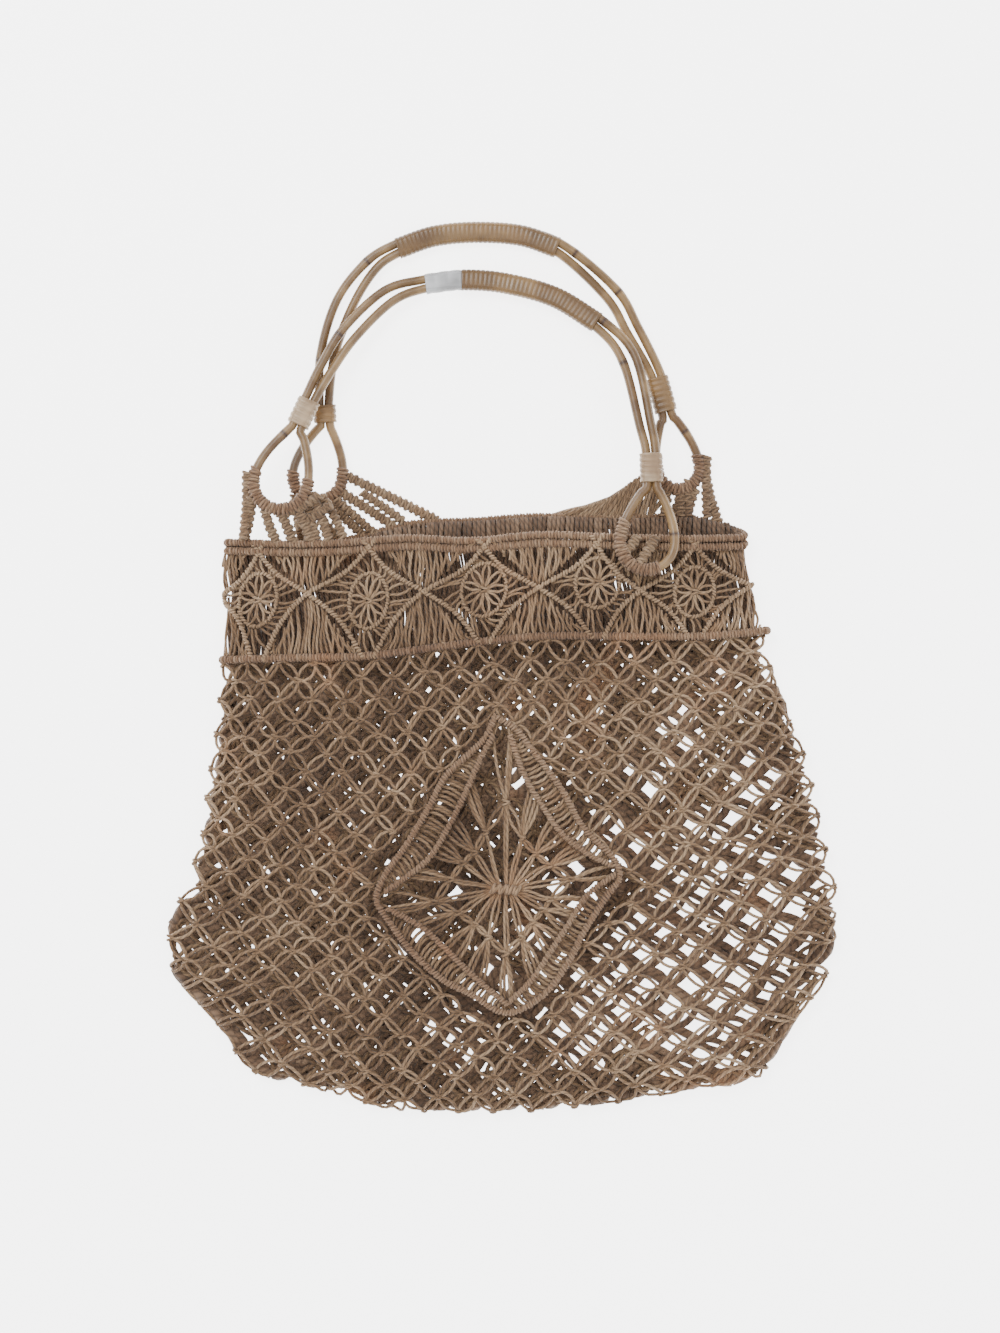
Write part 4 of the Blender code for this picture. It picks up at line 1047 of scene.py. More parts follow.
def add_wheel(cords, wheel, middle, walls):
    """One wheel: an oval hitched ring, spokes to its knotted middle, strands to the ridges."""
    turn = math.radians(wheel.turn)
    tilt = np.array(((math.cos(turn), -math.sin(turn)), (math.sin(turn), math.cos(turn))))
    angle = circle(30)
    size = np.array((wheel.wide, wheel.tall)) * PIXEL
    oval = middle + (np.column_stack((np.cos(angle), np.sin(angle))) * size) @ tilt.T
    points, normals = on_wall(oval, "front", WHEEL_LIFT)
    hitched_bar(cords, points, normals, WHEEL_RADIUS, closed=True,
                pitch=RIDGE_HITCHES["pitch"], slant=STEEP_SLANT, tone=RIDGE_TONE)
    top, base = band_limits(middle[0], "front")
    offset = walls - middle
    bearing, distance = np.arctan2(offset[:, 1], offset[:, 0]), np.linalg.norm(offset, axis=1)
    for i in range(LENS_STRANDS):
        angle = math.tau * (i + 0.5 * rng.random()) / LENS_STRANDS
        way = heading(angle)
        near = (way * size) @ tilt.T
        off = np.abs((bearing - angle + math.pi) % math.tau - math.pi)
        ahead = distance[(off < 0.10) & (distance > np.linalg.norm(near))]
        limit = (top if way[1] > 0 else base) - middle[1]
        reach = abs(limit / way[1]) if abs(way[1]) > 0.2 else 1.0
        reach = min([reach, *ahead])
        if reach > LENS_REACH or reach < np.linalg.norm(near) + 0.002:
            continue
        aside = to_left(way) * rng.normal(0, 0.0012)
        far = way * reach
        path = smooth_path([middle + near, middle + (near + far) / 2 + aside, middle + far], 7)
        add_on_wall(cords, path, lift=rng.normal(0, LIFT_SPREAD), radius=FINE_CORD_RADIUS)
    t = np.linspace(0.12, 1.0, 6)
    for i in range(SPOKES):
        angle = math.tau * (i + 0.5) / SPOKES + rng.normal(0, SPOKE_SPREAD)
        way = (heading(angle) * size) @ tilt.T
        aside = to_left(way) / np.linalg.norm(way)
        for side in (-1, 1):
            bow = side * (SPOKE_APART + SPOKE_BOW * np.sin(math.pi * t ** 1.4))
            path = middle + way * t[:, None] + aside * bow[:, None]
            add_on_wall(cords, path, lift=SPOKE_LIFT + rng.normal(0, FINE_LIFT_SPREAD),
                        radius=FINE_CORD_RADIUS, tone=0.3 + 0.7 * rng.random())
    tie_knots(cords, *on_wall(middle, "front", WHEEL_KNOT_LIFT), apart=WHEEL_WRAPS_APART)


def band_holes(path):
    """How far the strands behind the band part at each place: 0 where close, 1 in a hole."""
    ripple = np.sin(path[:, 0] * 97 + 0.6) * np.sin(path[:, 1] * 190 + path[:, 0] * 60)
    return np.clip((ripple - 0.45) * 3.0, 0, 1)


def make_band_back(cords):
    """Back wall of the band: close hanging strands that sway to and fro, and its ridges."""
    t = np.linspace(0, 1, 12)
    count = int((BAND_RIGHT - BAND_LEFT) / BACK_SPACING)
    for layer in BACK_LAYERS:
        for i in range(count + 1):
            share = min((i + layer.phase) / count, 1.0)
            x = BAND_LEFT + (BAND_RIGHT - BAND_LEFT) * share + rng.normal(0, PLACE_SPREAD)
            top, base = band_limits(x, "back")
            wave = BACK_WAVE * np.sin(math.tau * (t * 1.5 + x * 14)) * np.sin(math.pi * t)
            path = np.column_stack((x + wave, top + (base - top) * t))
            radius = BACK_CORD_RADIUS * (1 - BACK_NARROWING * band_holes(path))
            add_on_wall(cords, path, "back", layer.lift + rng.normal(0, LIFT_SPREAD), radius=radius)
    for ridge in band_ridges("back"):
        ridge = ridge + (BACK_RIDGE_SHIFT, 0.0)
        highest = [band_limits(x, "back")[0] for x in ridge[:, 0]]
        ridge[:, 1] = np.minimum(ridge[:, 1], highest)
        if ridge[:, 0].max() > BAND_RIGHT - BACK_RIDGE_END:
            continue
        points, normals = on_wall(ridge, "back", BACK_RIDGE_LIFT)
        hitched_bar(cords, points, normals, RIDGE_RADIUS, **RIDGE_HITCHES)


def make_band(materials):
    """The patterned band, its front wall and its back one."""
    front, back = Cords(), Cords()
    make_band_front(front)
    make_band_back(back)
    front.finish("patterned_band_front", materials["net"], "sisal_net", "patterned_band")
    # The band's back wall takes the darker net_back finish: painted shade behind its front wall.
    back.finish("patterned_band_back", materials["net_back"], "sisal_net", "patterned_band")


# Ridges of the diamond as they lie in the photograph, in its pixels
OUTER_RIDGE = (
    (495, 716), (483, 740), (447, 774), (430, 805), (408, 842), (386, 873), (377, 897),
    (386, 914), (411, 948), (442, 977), (471, 992), (507, 1011),
    (544, 992), (568, 960), (583, 931), (607, 893), (619, 876),
    (612, 856), (583, 827), (561, 788), (534, 752), (515, 728),
)
INNER_RIDGES = (
    ((493, 735), (481, 757), (466, 791), (449, 825), (430, 856), (406, 876), (386, 890)),
    ((510, 735), (524, 774), (544, 808), (563, 834), (590, 854), (612, 864)),
    ((389, 907), (420, 924), (440, 941), (464, 965), (486, 985), (507, 1002)),
    ((614, 873), (587, 893), (568, 922), (551, 948), (532, 977), (510, 999)),
)
DIAMOND_MIDDLE = (505, 888)
RAY_KNOTS = 18            # knots round the gathered middle
RAY_STRANDS = 2           # strands from the middle to each of them
RAY_REACH = 0.60          # how far out they stand, as a share of the way to the ridge
COMB_PITCH = 0.0029       # from tooth to tooth between the two ridges
RAY_APART = 0.0016
RAY_LIFT = 0.0004
GATHER_HEIGHT = 0.0040    # how high the rays climb to the gathered middle
GATHER_REACH = 0.010
FAN_SPREADS = (-1.0, -0.45, 0.45, 1.0)
FAN_REACH = 0.0066        # how far to each side of its ray a fan reaches the ridge
FAN_BOW = 0.0014
KNOT_ROUND_BOW = 0.10     # bow of the strands from knot to knot, as a share of their length
COMB_LEAN = 0.0012
RIDGE_SINK = 0.0006       # how deep the ridges sit in the net under them
RIDGE_SWELL = 0.0002
COMB_LIFT = 0.0003
RAY_KNOT_LIFT = 0.0007
GATHER_WIDE = 0.0055      # half width and half height of the place where the rays gather
GATHER_TALL = 0.0016
INNER_RIDGE_RISE = 0.0012
CENTRE_LIFT = 0.0030
CENTRE_RADIUS = 0.0035
CENTRE_CORD = 0.0012
CENTRE_TURN = -0.08


def towards(rim, middle, angle):
    """Place of the inner ridge in a direction from the middle."""
    bearing = np.arctan2(rim[:, 1] - middle[1], rim[:, 0] - middle[0])
    off = np.abs((bearing - angle + math.pi) % math.tau - math.pi)
    return rim[off.argmin()]


def nearest(points, place):
    """The point that lies nearest to a place."""
    return points[np.linalg.norm(points - place, axis=1).argmin()]


def add_rays(cords, middle, rim):
    """Strands from the gathered middle to a round of knots, and from these to the ridge."""
    knots = []
    for i in range(RAY_KNOTS):
        angle = math.tau * (i + 0.5) / RAY_KNOTS - math.pi
        tip = towards(rim, middle, angle)
        reach = RAY_REACH * (0.94 if abs(math.sin(angle)) > 0.7 else 1.0)
        knots.append(middle + (tip - middle) * reach + rng.normal(0, 0.0006, 2))
    for i, knot in enumerate(knots):
        way = (knot - middle) / np.linalg.norm(knot - middle)
        aside = to_left(way)
        side = 1 if way[0] > 0 else -1
        root = middle + np.array((side * GATHER_WIDE * abs(way[0]) ** 0.5, GATHER_TALL * way[1]))
        for number in range(RAY_STRANDS):
            offset = (number - (RAY_STRANDS - 1) / 2) * RAY_APART
            path = smooth_path([
                root + aside * offset * 0.25,
                root * 0.6 + knot * 0.4 + aside * (offset * 1.15 + rng.normal(0, 0.0005)),
                root * 0.25 + knot * 0.75 + aside * (offset * 1.35 + rng.normal(0, 0.0004)),
                knot + aside * offset * 0.3,
            ], 12)
            distance = np.linalg.norm(path - middle, axis=1)
            height = GATHER_HEIGHT * np.exp(-distance / GATHER_REACH)
            add_on_wall(cords, path, lift=RAY_LIFT + height, radius=FINE_CORD_RADIUS)
        outward = towards(rim, middle, math.atan2(way[1], way[0]))
        if np.linalg.norm(outward - knot) >= SHORTEST_STRAND:
            for spread in FAN_SPREADS:
                target = nearest(rim, outward + aside * spread * FAN_REACH)
                path = bowed_path(knot, target, aside * spread * FAN_BOW, 7)
                add_on_wall(cords, path, lift=RAY_LIFT + rng.normal(0, FINE_LIFT_SPREAD))
        after = knots[(i + 1) % len(knots)]
        for bow in (-1, 1):
            turn = to_left(after - knot) * KNOT_ROUND_BOW * bow
            add_on_wall(cords, bowed_path(knot, after, turn, 7), lift=-RAY_LIFT)
    tie_knots(cords, *on_wall(np.array(knots), "front", RAY_KNOT_LIFT))


def add_comb(cords, ring, rim):
    """Short strands between the outer ridge and the inner one, like the teeth of a comb."""
    closed = np.vstack((ring, ring[:1]))
    teeth = resample(closed, int(path_length(closed) / COMB_PITCH))[:-1]
    for tooth in teeth:
        near = nearest(rim, tooth)
        room = np.linalg.norm(near - tooth)
        if room < SHORTEST_STRAND:
            continue
        lean = to_left((near - tooth) / room) * (COMB_LEAN + rng.normal(0, 0.0005))
        path = bowed_path(tooth, near, lean, 6)
        add_on_wall(cords, path, lift=COMB_LIFT + rng.normal(0, FINE_LIFT_SPREAD))


def make_diamond(materials):
    """The diamond of the front: two rows of ridges and strands gathered in its middle."""
    outer = pixel_path(OUTER_RIDGE)
    ring = smooth_path(np.vstack((outer, outer[:1])), 120)[:-1]
    lift = WALL / 2 + GAP + RIDGE_DIAMETER / 2 - RIDGE_SINK
    ridge = Cords()
    points, normals = on_wall(ring, "front", lift)
    hitched_bar(ridge, points, normals, RIDGE_DIAMETER / 2 + RIDGE_SWELL, closed=True,
                slant=STEEP_SLANT, tone=RIDGE_TONE)
    ridge.finish("diamond_ridge_outer_hitches", materials["bars"], "sisal_bars",
                 "diamond_ridge_outer")
    inner = Cords()
    for pixels in INNER_RIDGES:
        path = smooth_path(pixel_path(pixels), 40)
        points, normals = on_wall(path, "front", lift + INNER_RIDGE_RISE)
        hitched_bar(inner, points, normals, RIDGE_DIAMETER / 2, slant=STEEP_SLANT,
                    tone=RIDGE_TONE)
    inner.finish("diamond_ridge_inner_hitches", materials["bars"], "sisal_bars",
                 "diamond_ridge_inner")
    strands = Cords()
    middle = at_pixel(*DIAMOND_MIDDLE)
    rim = np.vstack([smooth_path(pixel_path(pixels), 60) for pixels in INNER_RIDGES])
    add_rays(strands, middle, rim)
    add_comb(strands, ring, rim)
    wrap = Cords()
    across = np.linspace(-0.5, 0.5, 9) * CENTRE_WRAP_LENGTH
    line = middle + np.column_stack((across, across * CENTRE_TURN))
    points, normals = on_wall(line, "front", WALL / 2 + GAP + CENTRE_LIFT)
    hitched_bar(wrap, points, normals, CENTRE_RADIUS, slant=0.0012, cord=CENTRE_CORD, tone=1.0)
    wrap.finish("diamond_centre_hitches", materials["straps"], "sisal_bars",
                "diamond_centre_wrap")
    return strands, ring


def make_net(materials):
    """The net's two walls, with the strands of the diamond in the hole of the front one."""
    strands, ring = make_diamond(materials)
    for wall in NET_WALLS:
        cords = make_net_wall(wall, ring if wall.side == "front" else None)
        cords.finish(wall.name, materials[wall.finish], "sisal_net", "net_body")
    strands.finish("diamond_strands", materials["net"], "sisal_net", "net_body")


def handle_slope():
    """Height of the front handle's plane: what it rests on at the crossing and the rim."""
    crossing_y = RIM_Y + HANDLE_REACH * CROSSING_UP
    crossing_z = BACK_HANDLE_Z + CANE_DIAMETER + SEAT
    rest_y = RIM_Y + HANDLE_REACH * FRONT_EYE_DOWN
    rest_z = MOUTH_LOFT + BAR_DIAMETER + EYE_WRAP_RADIUS + SEAT
    lean = (rest_z - crossing_z) / (crossing_y - rest_y)
    return crossing_y, crossing_z, lean


def raise_to_plane(place, handle):
    """The same place, lifted into the plane of its handle."""
    if handle == "back":
        return Vector((place.x, place.y, BACK_HANDLE_Z))
    crossing_y, crossing_z, lean = handle_slope()
    return Vector((place.x, place.y, crossing_z + (crossing_y - place.y) * lean))


def handle_point(across, up, handle):
    """Point in a handle's own plane, from shares of its width and reach."""
    return raise_to_plane(
        Vector((across * HANDLE_WIDTH, RIM_Y + up * HANDLE_REACH, 0.0)), handle)


def across_of(direction):
    """Unit vector in the plan at a right angle to a direction, to its left."""
    flat = Vector((direction.x, direction.y, 0.0)).normalized()
    return Vector((-flat.y, flat.x, 0.0))


def arch_line(handle):
    """Middle points, outer canes and inner canes of a handle's double arch."""
    rows = ARCHES[handle]
    middles = [handle_point(row.across, row.up, handle) for row in rows]
    outer, inner = [], []
    for i, row in enumerate(rows):
        ahead = middles[min(i + 1, len(rows) - 1)]
        behind = middles[max(i - 1, 0)]
        if i in (0, 1):
            ahead, behind = middles[1], middles[0]
        if i in (len(rows) - 2, len(rows) - 1):
            ahead, behind = middles[-1], middles[-2]
        aside = across_of(ahead - behind)
        spread = CANE_RADIUS + GAP / 2 + row.part * CANE_DIAMETER
        outer.append(raise_to_plane(middles[i] + aside * spread, handle))
        inner.append(raise_to_plane(middles[i] - aside * spread, handle))
    return middles, outer, inner


def eye_point(handle, side, around):
    """Point of an eye: around runs from 0 at its left leg to 1 at its right one."""
    middles, outer, inner = arch_line(handle)
    eye = EYES[handle, side]
    if side == "left":
        root, left_root, right_root = middles[0], outer[0], inner[0]
    else:
        root, left_root, right_root = middles[-1], inner[-1], outer[-1]
    axis = handle_point(eye.across, eye.up, handle) - root
    axis.z = 0.0
    length = axis.length
    axis.normalize()
    aside = across_of(axis)
    half = eye.wide * EYE_WIDTH / 2
    leg = length - half
    if around < EYE_LEG or around > 1 - EYE_LEG:
        near = around if around < EYE_LEG else 1 - around
        share = near / EYE_LEG
        start = left_root if around < EYE_LEG else right_root
        way = -1 if around < EYE_LEG else 1
        start_aside = (start - root).dot(aside)
        wide = start_aside + (way * half - start_aside) * math.sin(share * math.pi / 2)
        place = root + axis * leg * share + aside * wide
    else:
        turn = math.pi * (around - EYE_LEG) / (1 - 2 * EYE_LEG)
        centre = root + axis * leg
        place = centre - aside * half * math.cos(turn) + axis * half * math.sin(turn)
    return raise_to_plane(place, handle)


def plane_normal(handle):
    """Which way is up from a handle's plane."""
    lean = 0.0 if handle == "back" else handle_slope()[2]
    return unit(np.array((0.0, lean, 1.0)))


def as_array(points):
    """Points as rows of numbers."""
    return np.array([tuple(point) for point in points])

# Growth rings and stains of the canes, in pixels of the photograph. The first front entry of the
# stains is painted shade: the dark strip between the two canes, coloured onto the cane.
CANE_NODES = {
    "back": ((366, 257), (346, 331), (689, 430), (617, 290), (319, 360), (575, 252)),
    "front": ((669, 536), (603, 321), (339, 335), (622, 362), (285, 436)),
}
CANE_STAINS_AND_SHADE = {
    "back": table("Stain", "px py reach depth", (296, 458, 26, 0.86), (322, 352, 14, 0.66)),
    # The first front entry is painted shade between the two canes, not a stain.
    "front": table("Stain", "px py reach depth", (642, 352, 30, 0.68), (668, 500, 26, 0.62)),
}
RING_REACH = 1.1          # in steps of the cane's path
RING_SWELL = 0.07
RING_SWELL_REACH = 1.6
CANE_STEPS = 420

# Places on an eye that the cane's path takes, from its right leg to its left one
EYE_PLACES = [0.96, 0.90, 0.83, 0.76] + [0.30 + 0.05 * i for i in reversed(range(9))] + [
    0.24, 0.17, 0.10, 0.04]


def make_canes(materials):
    """One long cane for each handle, bent to a closed ring, with its growth rings, its stains and a
    patch of painted shade between the two canes.
    """
    for handle in ("back", "front"):
        outer, inner = arch_line(handle)[1:]
        right_eye = [eye_point(handle, "right", place) for place in EYE_PLACES]
        left_eye = [eye_point(handle, "left", place) for place in EYE_PLACES]
        loop = as_array(outer + right_eye + inner[::-1] + left_eye)
        path = smooth_path(np.vstack((loop, loop[:1])), CANE_STEPS)[:-1]
        mark = np.zeros(len(path))
        swell = np.ones(len(path))
        for spot in pixel_path(CANE_NODES[handle]):
            nearest_step = np.linalg.norm(path[:, :2] - spot, axis=1).argmin()
            reach = np.abs(np.arange(len(path)) - nearest_step)
            mark = np.maximum(mark, np.exp(-(reach / RING_REACH) ** 2))
            swell += RING_SWELL * np.exp(-(reach / RING_SWELL_REACH) ** 2)
        # Stains, and one patch of painted shade between the canes, darken the cane towards the ring
        # colour.
        for stain in CANE_STAINS_AND_SHADE[handle]:
            reach = np.linalg.norm(path[:, :2] - at_pixel(stain.px, stain.py), axis=1)
            mark = np.maximum(mark, stain.depth * np.exp(-(reach / stain.reach / PIXEL) ** 4))
        cords = Cords()
        cords.add(path, plane_normal(handle), radius=(CANE_RADIUS * swell)[None], sides=16,
                  closed=True, tone=mark[None], pitch=STRIP_PITCH)
        cords.finish("cane_" + handle, materials["cane"], "rattan_cane", "cane_ring_" + handle)


# Windings of split cane: the strip's width along the canes, and the shape of each turn
HALF_SPREAD = CANE_RADIUS + GAP / 2
SLEEVE_CORNERS = 28
STEPS_PER_TURN = 7
GRIP_STRIP = 0.0028
TAPE_STRIP = 0.0075
TAPE_THICKNESS = GRIP_WRAP * 0.8
STRIP_WANDER = 0.02       # how unevenly the turns follow each other
COLLAR_STRIP = 0.0034
TAPE_SHARE = 0.20         # of the front grip's length, bound in whitish tape


def sleeve_section(thickness, phase):
    """Section of a winding round two canes: two half circles, crowned over each turn."""
    angle = circle(SLEEVE_CORNERS)
    turn = phase[:, None] + angle[None] / math.tau
    crown = np.abs(np.sin(math.pi * turn)) ** 0.45
    reach = CANE_RADIUS + GAP * 0.4 + thickness * (0.35 + 0.65 * crown)
    shift = np.where(np.cos(angle) >= 0, 1.0, -1.0) * HALF_SPREAD
    return np.stack((np.cos(angle)[None] * reach + shift[None],
                     np.sin(angle)[None] * reach), -1)


def wind(cords, path, normal, thickness, pitch):
    """A strip wound round the two canes of a handle."""
    steps = max(8, int(path_length(path) / pitch * STEPS_PER_TURN))
    path = resample(path, steps)
    aside, upward, _ = axes_along(path, normal)
    phase = running_length(path) / pitch + np.cumsum(rng.normal(0, STRIP_WANDER, steps))
    cords.loft(path, aside, upward, sleeve_section(thickness, phase))


def shorten(path):
    """A path whose two ends stop short of the bends where the canes part."""
    first = path[0] + (path[1] - path[0]).normalized() * BEND_ROOM
    last = path[-1] + (path[-2] - path[-1]).normalized() * BEND_ROOM
    return [first] + path[1:-1] + [last]


def make_bindings(materials):
    """Grips and collars wound with split cane, one stretch with whitish tape."""
    for handle in ("back", "front"):
        middles = arch_line(handle)[0]
        normal = plane_normal(handle)
        grip = as_array(shorten(middles[GRIP_ROWS[0]:GRIP_ROWS[1] + 1]))
        grip = smooth_path(grip, 160)
        cords = Cords()
        start = 0
        if handle == "front":
            start = int(len(grip) * TAPE_SHARE)
            tape = Cords()
            wind(tape, grip[:start + 1], normal, TAPE_THICKNESS, TAPE_STRIP)
            tape.finish("grip_tape_front", materials["tape"], "rattan_binding",
                        "grip_wrap_front")
        wind(cords, grip[start:], normal, GRIP_WRAP, GRIP_STRIP)
        cords.finish("grip_binding_" + handle, materials["binding"], "rattan_binding",
                     "grip_wrap_" + handle)
        for side, ends in (("left", middles[:2]), ("right", middles[-2:])):
            collar = Cords()
            path = smooth_path(as_array(shorten(list(ends))), 24)
            wind(collar, path, normal, COLLAR_WRAP, COLLAR_STRIP)
            finish = materials["binding_pale" if handle == "front" else "binding"]
            name = handle + "_" + side
            collar.finish("collar_binding_" + name, finish, "rattan_binding", "collar_" + name)


# Stretch of each eye that cord is wound round, as shares of its run from left leg to right
EYE_WINDINGS = {
    ("back", "left"): (0.30, 0.76),
    ("back", "right"): (0.22, 0.74),
    ("front", "left"): (0.27, 0.75),
    ("front", "right"): (0.20, 0.56),
}
WINDING_PITCH = 0.0023
WINDING_SLANT = 0.0006
WINDING_CORD = 0.00105
WINDING_SINK = 0.0005     # how far the winding's cords lie inside the solid's skin


def make_eye_windings(materials):
    """Cord wound round the lower part of each eye, where the straps are tied."""
    for (handle, side), stretch in EYE_WINDINGS.items():
        path = as_array([eye_point(handle, side, share) for share in np.linspace(*stretch, 30)])
        cords = Cords()
        hitched_bar(cords, path, plane_normal(handle), EYE_WRAP_RADIUS - WINDING_SINK,
                    pitch=WINDING_PITCH, slant=WINDING_SLANT, cord=WINDING_CORD)
        name = handle + "_" + side
        cords.finish("eye_winding_" + name, materials["bars"], "sisal_bars", "eye_wrap_" + name)


def rim_place(across, layer):
    """Middle of the upper rim bar, and its direction in the plan."""
    after = ring_point(min(across + 0.01, 1.0), layer, 0.0)
    before = ring_point(max(across - 0.01, -1.0), layer, 0.0)
    along = after - before
    return ring_point(across, layer, 0.0), Vector((along.x, along.y, 0.0)).normalized()


def sinnet_line(sinnet):
    """Ends of a strap's middle line, at the eye's winding and at the rim."""
    start = eye_point(sinnet.handle, sinnet.eye, sinnet.around)
    beside = eye_point(sinnet.handle, sinnet.eye, sinnet.around + 0.02)
    tangent = Vector((beside.x - start.x, beside.y - start.y, 0.0)).normalized()
    outward = Vector((tangent.y, -tangent.x, 0.0)) * sinnet.way
    bar, bar_along = rim_place(sinnet.across, sinnet.handle)
    over_bar = sinnet.way < 0
    first = start + outward * (EYE_WRAP_RADIUS - 0.0015)
    clear = 0.0 if over_bar else BAR_RADIUS - 0.0010
    last = bar + Vector((-bar_along.y, bar_along.x, 0.0)) * clear
    last.z = bar.z + (BAR_RADIUS + SEAT + SINNET_THICKNESS / 2 if over_bar else 0.0)
    return first, last


# Straps: how far their knots stand out from the solid, and how they lie
STRAP_KNOT_PITCH = 0.0018
STRAP_SLANT = 0.0006
STRAP_CORE = 0.72         # of the strap's half width, filled by its core
# Painted shade: the core of a strap, seen only between its knots, takes a fixed dark tone.
STRAP_CORE_PAINTED_SHADE_TONE = 0.15
STRAP_SWELL = 0.0010
WEB_SWELL = 0.0006
STRAP_FLATTENING = 0.0002

# Soft turns of the straps that fill the web between them: pixels of both ends, heights of both
WEB_COLUMNS = ("Web", "px py to_px to_py high low")
STRAP_WEBS = {
    "sinnet_front_left_1": table(*WEB_COLUMNS, (248, 474, 244, 537, 0.026, 0.021)),
    "sinnet_front_left_4": table(*WEB_COLUMNS, (306, 500, 317, 538, 0.024, 0.021),
                                 (289, 514, 320, 497, 0.027, 0.028)),
    "sinnet_front_left_5": table(*WEB_COLUMNS, (322, 496, 344, 537, 0.022, 0.021),
                                 (297, 526, 332, 506, 0.023, 0.026)),
    "sinnet_back_left_3": table(*WEB_COLUMNS, (336, 499, 374, 533, 0.006, 0.004)),
    "sinnet_back_left_1": table(*WEB_COLUMNS, (362, 492, 402, 520, 0.006, 0.004)),
    "sinnet_back_right_1": table(*WEB_COLUMNS, (677, 486, 682, 514, 0.006, 0.004),
                                 (668, 484, 664, 514, 0.006, 0.004)),
    "sinnet_back_right_2": table(*WEB_COLUMNS, (689, 480, 690, 514, 0.006, 0.004)),
    "sinnet_back_right_3": table(*WEB_COLUMNS, (708, 456, 708, 516, 0.006, 0.004)),
}


def flat_sinnet(cords, path, swell):
    """A square-knotted strap: knot after knot, slanting now one way and now the other."""
    half_width = SINNET_WIDTH / 2 + swell
    count = max(4, int(path_length(path) / STRAP_KNOT_PITCH))
    path = resample(path, count)
    axes = axes_along(path, (0.0, 0.0, 1.0))
    # The core takes a dark tone: painted shade between the knots.
    cords.add(path, axes[1], radius=half_width * STRAP_CORE, flat=0.5, tone=STRAP_CORE_PAINTED_SHADE_TONE)
    size = (half_width - CORD_RADIUS) * (1 + 0.06 * rng.normal(size=(count, 1, 1)))
    reaches = (size, SINNET_THICKNESS / 2 - STRAP_FLATTENING, alternate(count) * STRAP_SLANT)
    add_rings(cords, path, path[:, None], axes, reaches, 12, CORD_RADIUS * 1.1)


def make_sinnets(materials):
    """The knotted straps from the eyes to the rim."""
    for sinnet in SINNETS:
        first, last = as_array(sinnet_line(sinnet))
        sag = np.array((rng.normal(0, 0.0006), rng.normal(0, 0.0004), 0.0))
        cords = Cords()
        flat_sinnet(cords, bowed_path(first, last, sag, 20), STRAP_SWELL)
        for web in STRAP_WEBS.get(sinnet.name, ()):
            start = np.append(at_pixel(web.px, web.py), web.high)
            end = np.append(at_pixel(web.to_px, web.to_py), web.low)
            flat_sinnet(cords, bowed_path(start, end, sag, 20), WEB_SWELL)
        cords.finish(sinnet.name + "_cords", materials["straps"], "sisal_straps", sinnet.name)


GUSSET_STEPS = 60
GUSSET_CORDS = 34         # in each of its two layers
GUSSET_LEANS = (10, -8)   # how many steps each layer's cords lean
GUSSET_LIFT = 0.0008
GUSSET_SHORTEST = 0.004
GUSSET_SLANT = 0.0008
GUSSET_EDGE_START = 8     # the edge's cord starts past the steps that the eye hides
GUSSET_EDGE_RADIUS = 0.0017


def make_gusset(materials):
    """The close-woven web between the back handle's right eye and the back rim."""
    top = [eye_point("back", "right", share) for share in np.linspace(*GUSSET_AROUND, 4)][::-1]
    edge = [handle_point(edge.across, edge.up, "back") for edge in GUSSET_EDGE]
    upper = smooth_path(as_array(top + edge), GUSSET_STEPS)
    upper[:, 2] = BAR_RADIUS + GAP + GUSSET_LIFT
    lower = as_array([rim_place(a, "back")[0] for a in np.linspace(*GUSSET_RIM, 40)])
    lower = resample(lower, GUSSET_STEPS)
    cords = Cords()
    up = (0.0, 0.0, 1.0)
    hitched_bar(cords, upper[GUSSET_EDGE_START:], up, GUSSET_EDGE_RADIUS, slant=GUSSET_SLANT,
                pitch=RIDGE_HITCHES["pitch"])
    last = GUSSET_STEPS - 1
    for lean, way in zip(GUSSET_LEANS, (-1, 1)):
        for i in range(GUSSET_CORDS):
            at = round(i / (GUSSET_CORDS - 1) * last)
            start = upper[at]
            end = lower[min(max(at + lean, 0), last)]
            if np.linalg.norm(end - start) < GUSSET_SHORTEST:
                continue
            path = bowed_path(start, end, rng.normal(0, 0.0005, 3), 9)
            path[:, 2] += GUSSET_LIFT * way
            cords.add(path, up)
    cords.finish("gusset_weave", materials["straps"], "sisal_straps", "gusset_back_right")


FLOOR_REACH = 3.0
FLOOR_DROP = 0.0002       # from the plane that the bag rests on down to the floor
FLOOR_COLOUR = (0.95, 0.95, 0.95, 1.0)
FLOOR_GLOW = 4.0
WHITE = (1.0, 1.0, 1.0, 1.0)
SURROUND_STRENGTH = 1.15


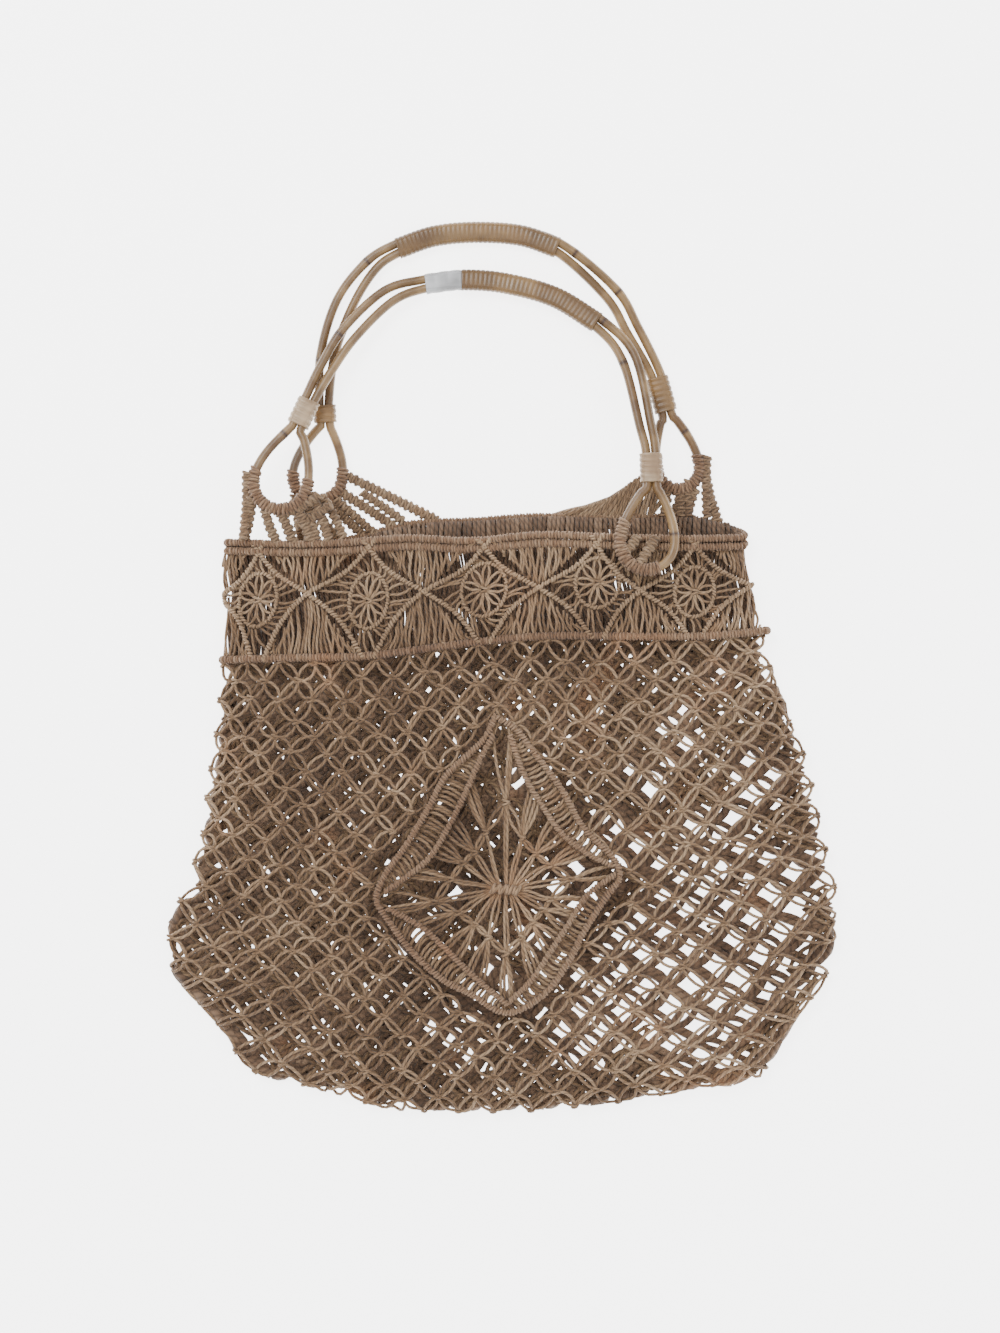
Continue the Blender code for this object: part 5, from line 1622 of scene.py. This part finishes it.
def make_floor():
    """A plain pale floor that reaches past the view."""
    mesh = bpy.data.meshes.new("floor")
    corners = [(x * FLOOR_REACH, y * FLOOR_REACH, 0.0)
               for x, y in ((-1, -1), (1, -1), (1, 1), (-1, 1))]
    mesh.from_pydata(corners, [], [(0, 1, 2, 3)])
    shade = Shade("floor_paper")
    shade.shader.inputs["Base Color"].default_value = FLOOR_COLOUR
    shade.shader.inputs["Roughness"].default_value = 0.9
    shade.shader.inputs["Emission Color"].default_value = WHITE
    shade.shader.inputs["Emission Strength"].default_value = FLOOR_GLOW
    mesh.materials.append(shade.material)
    floor = bpy.data.objects.new("floor", mesh)
    bpy.context.scene.collection.objects.link(floor)
    floor.location.z = -FLOOR_DROP


CAMERA_LENS = 85.0
CAMERA_SENSOR = 36.0
SUBJECT_HEIGHT = 0.015


def make_camera():
    """A camera straight above the bag that frames it as the photograph does."""
    data = bpy.data.cameras.new("camera")
    data.lens = CAMERA_LENS
    data.sensor_width = CAMERA_SENSOR
    data.clip_end = 20.0
    camera = bpy.data.objects.new("camera", data)
    height = PHOTO_HEIGHT * PIXEL * CAMERA_LENS / CAMERA_SENSOR
    camera.location = (0.0, 0.0, SUBJECT_HEIGHT + height)
    bpy.context.scene.collection.objects.link(camera)
    bpy.context.scene.camera = camera


Lamp = namedtuple("Lamp", "name place size power")
LAMPS = (
    Lamp("key", (-0.9, 1.1, 2.0), 1.2, 46.0),
    Lamp("fill", (1.3, -0.4, 1.8), 2.2, 16.0),
)


def make_lights():
    """Soft studio light: a large key from the upper left, a fill and a pale surround."""
    for lamp in LAMPS:
        data = bpy.data.lights.new(lamp.name, "AREA")
        data.shape = "DISK"
        data.size = lamp.size
        data.energy = lamp.power
        light = bpy.data.objects.new(lamp.name, data)
        light.location = lamp.place
        light.rotation_euler = (-Vector(lamp.place)).to_track_quat("-Z", "Y").to_euler()
        bpy.context.scene.collection.objects.link(light)
    world = bpy.data.worlds.new("studio")
    world.use_nodes = True
    world.node_tree.nodes["Background"].inputs["Color"].default_value = WHITE
    world.node_tree.nodes["Background"].inputs["Strength"].default_value = SURROUND_STRENGTH
    bpy.context.scene.world = world


make_camera()
make_lights()
make_floor()
finishes = make_materials()
make_bars(finishes)
make_band(finishes)
make_net(finishes)
make_canes(finishes)
make_bindings(finishes)
make_eye_windings(finishes)
make_sinnets(finishes)
make_gusset(finishes)
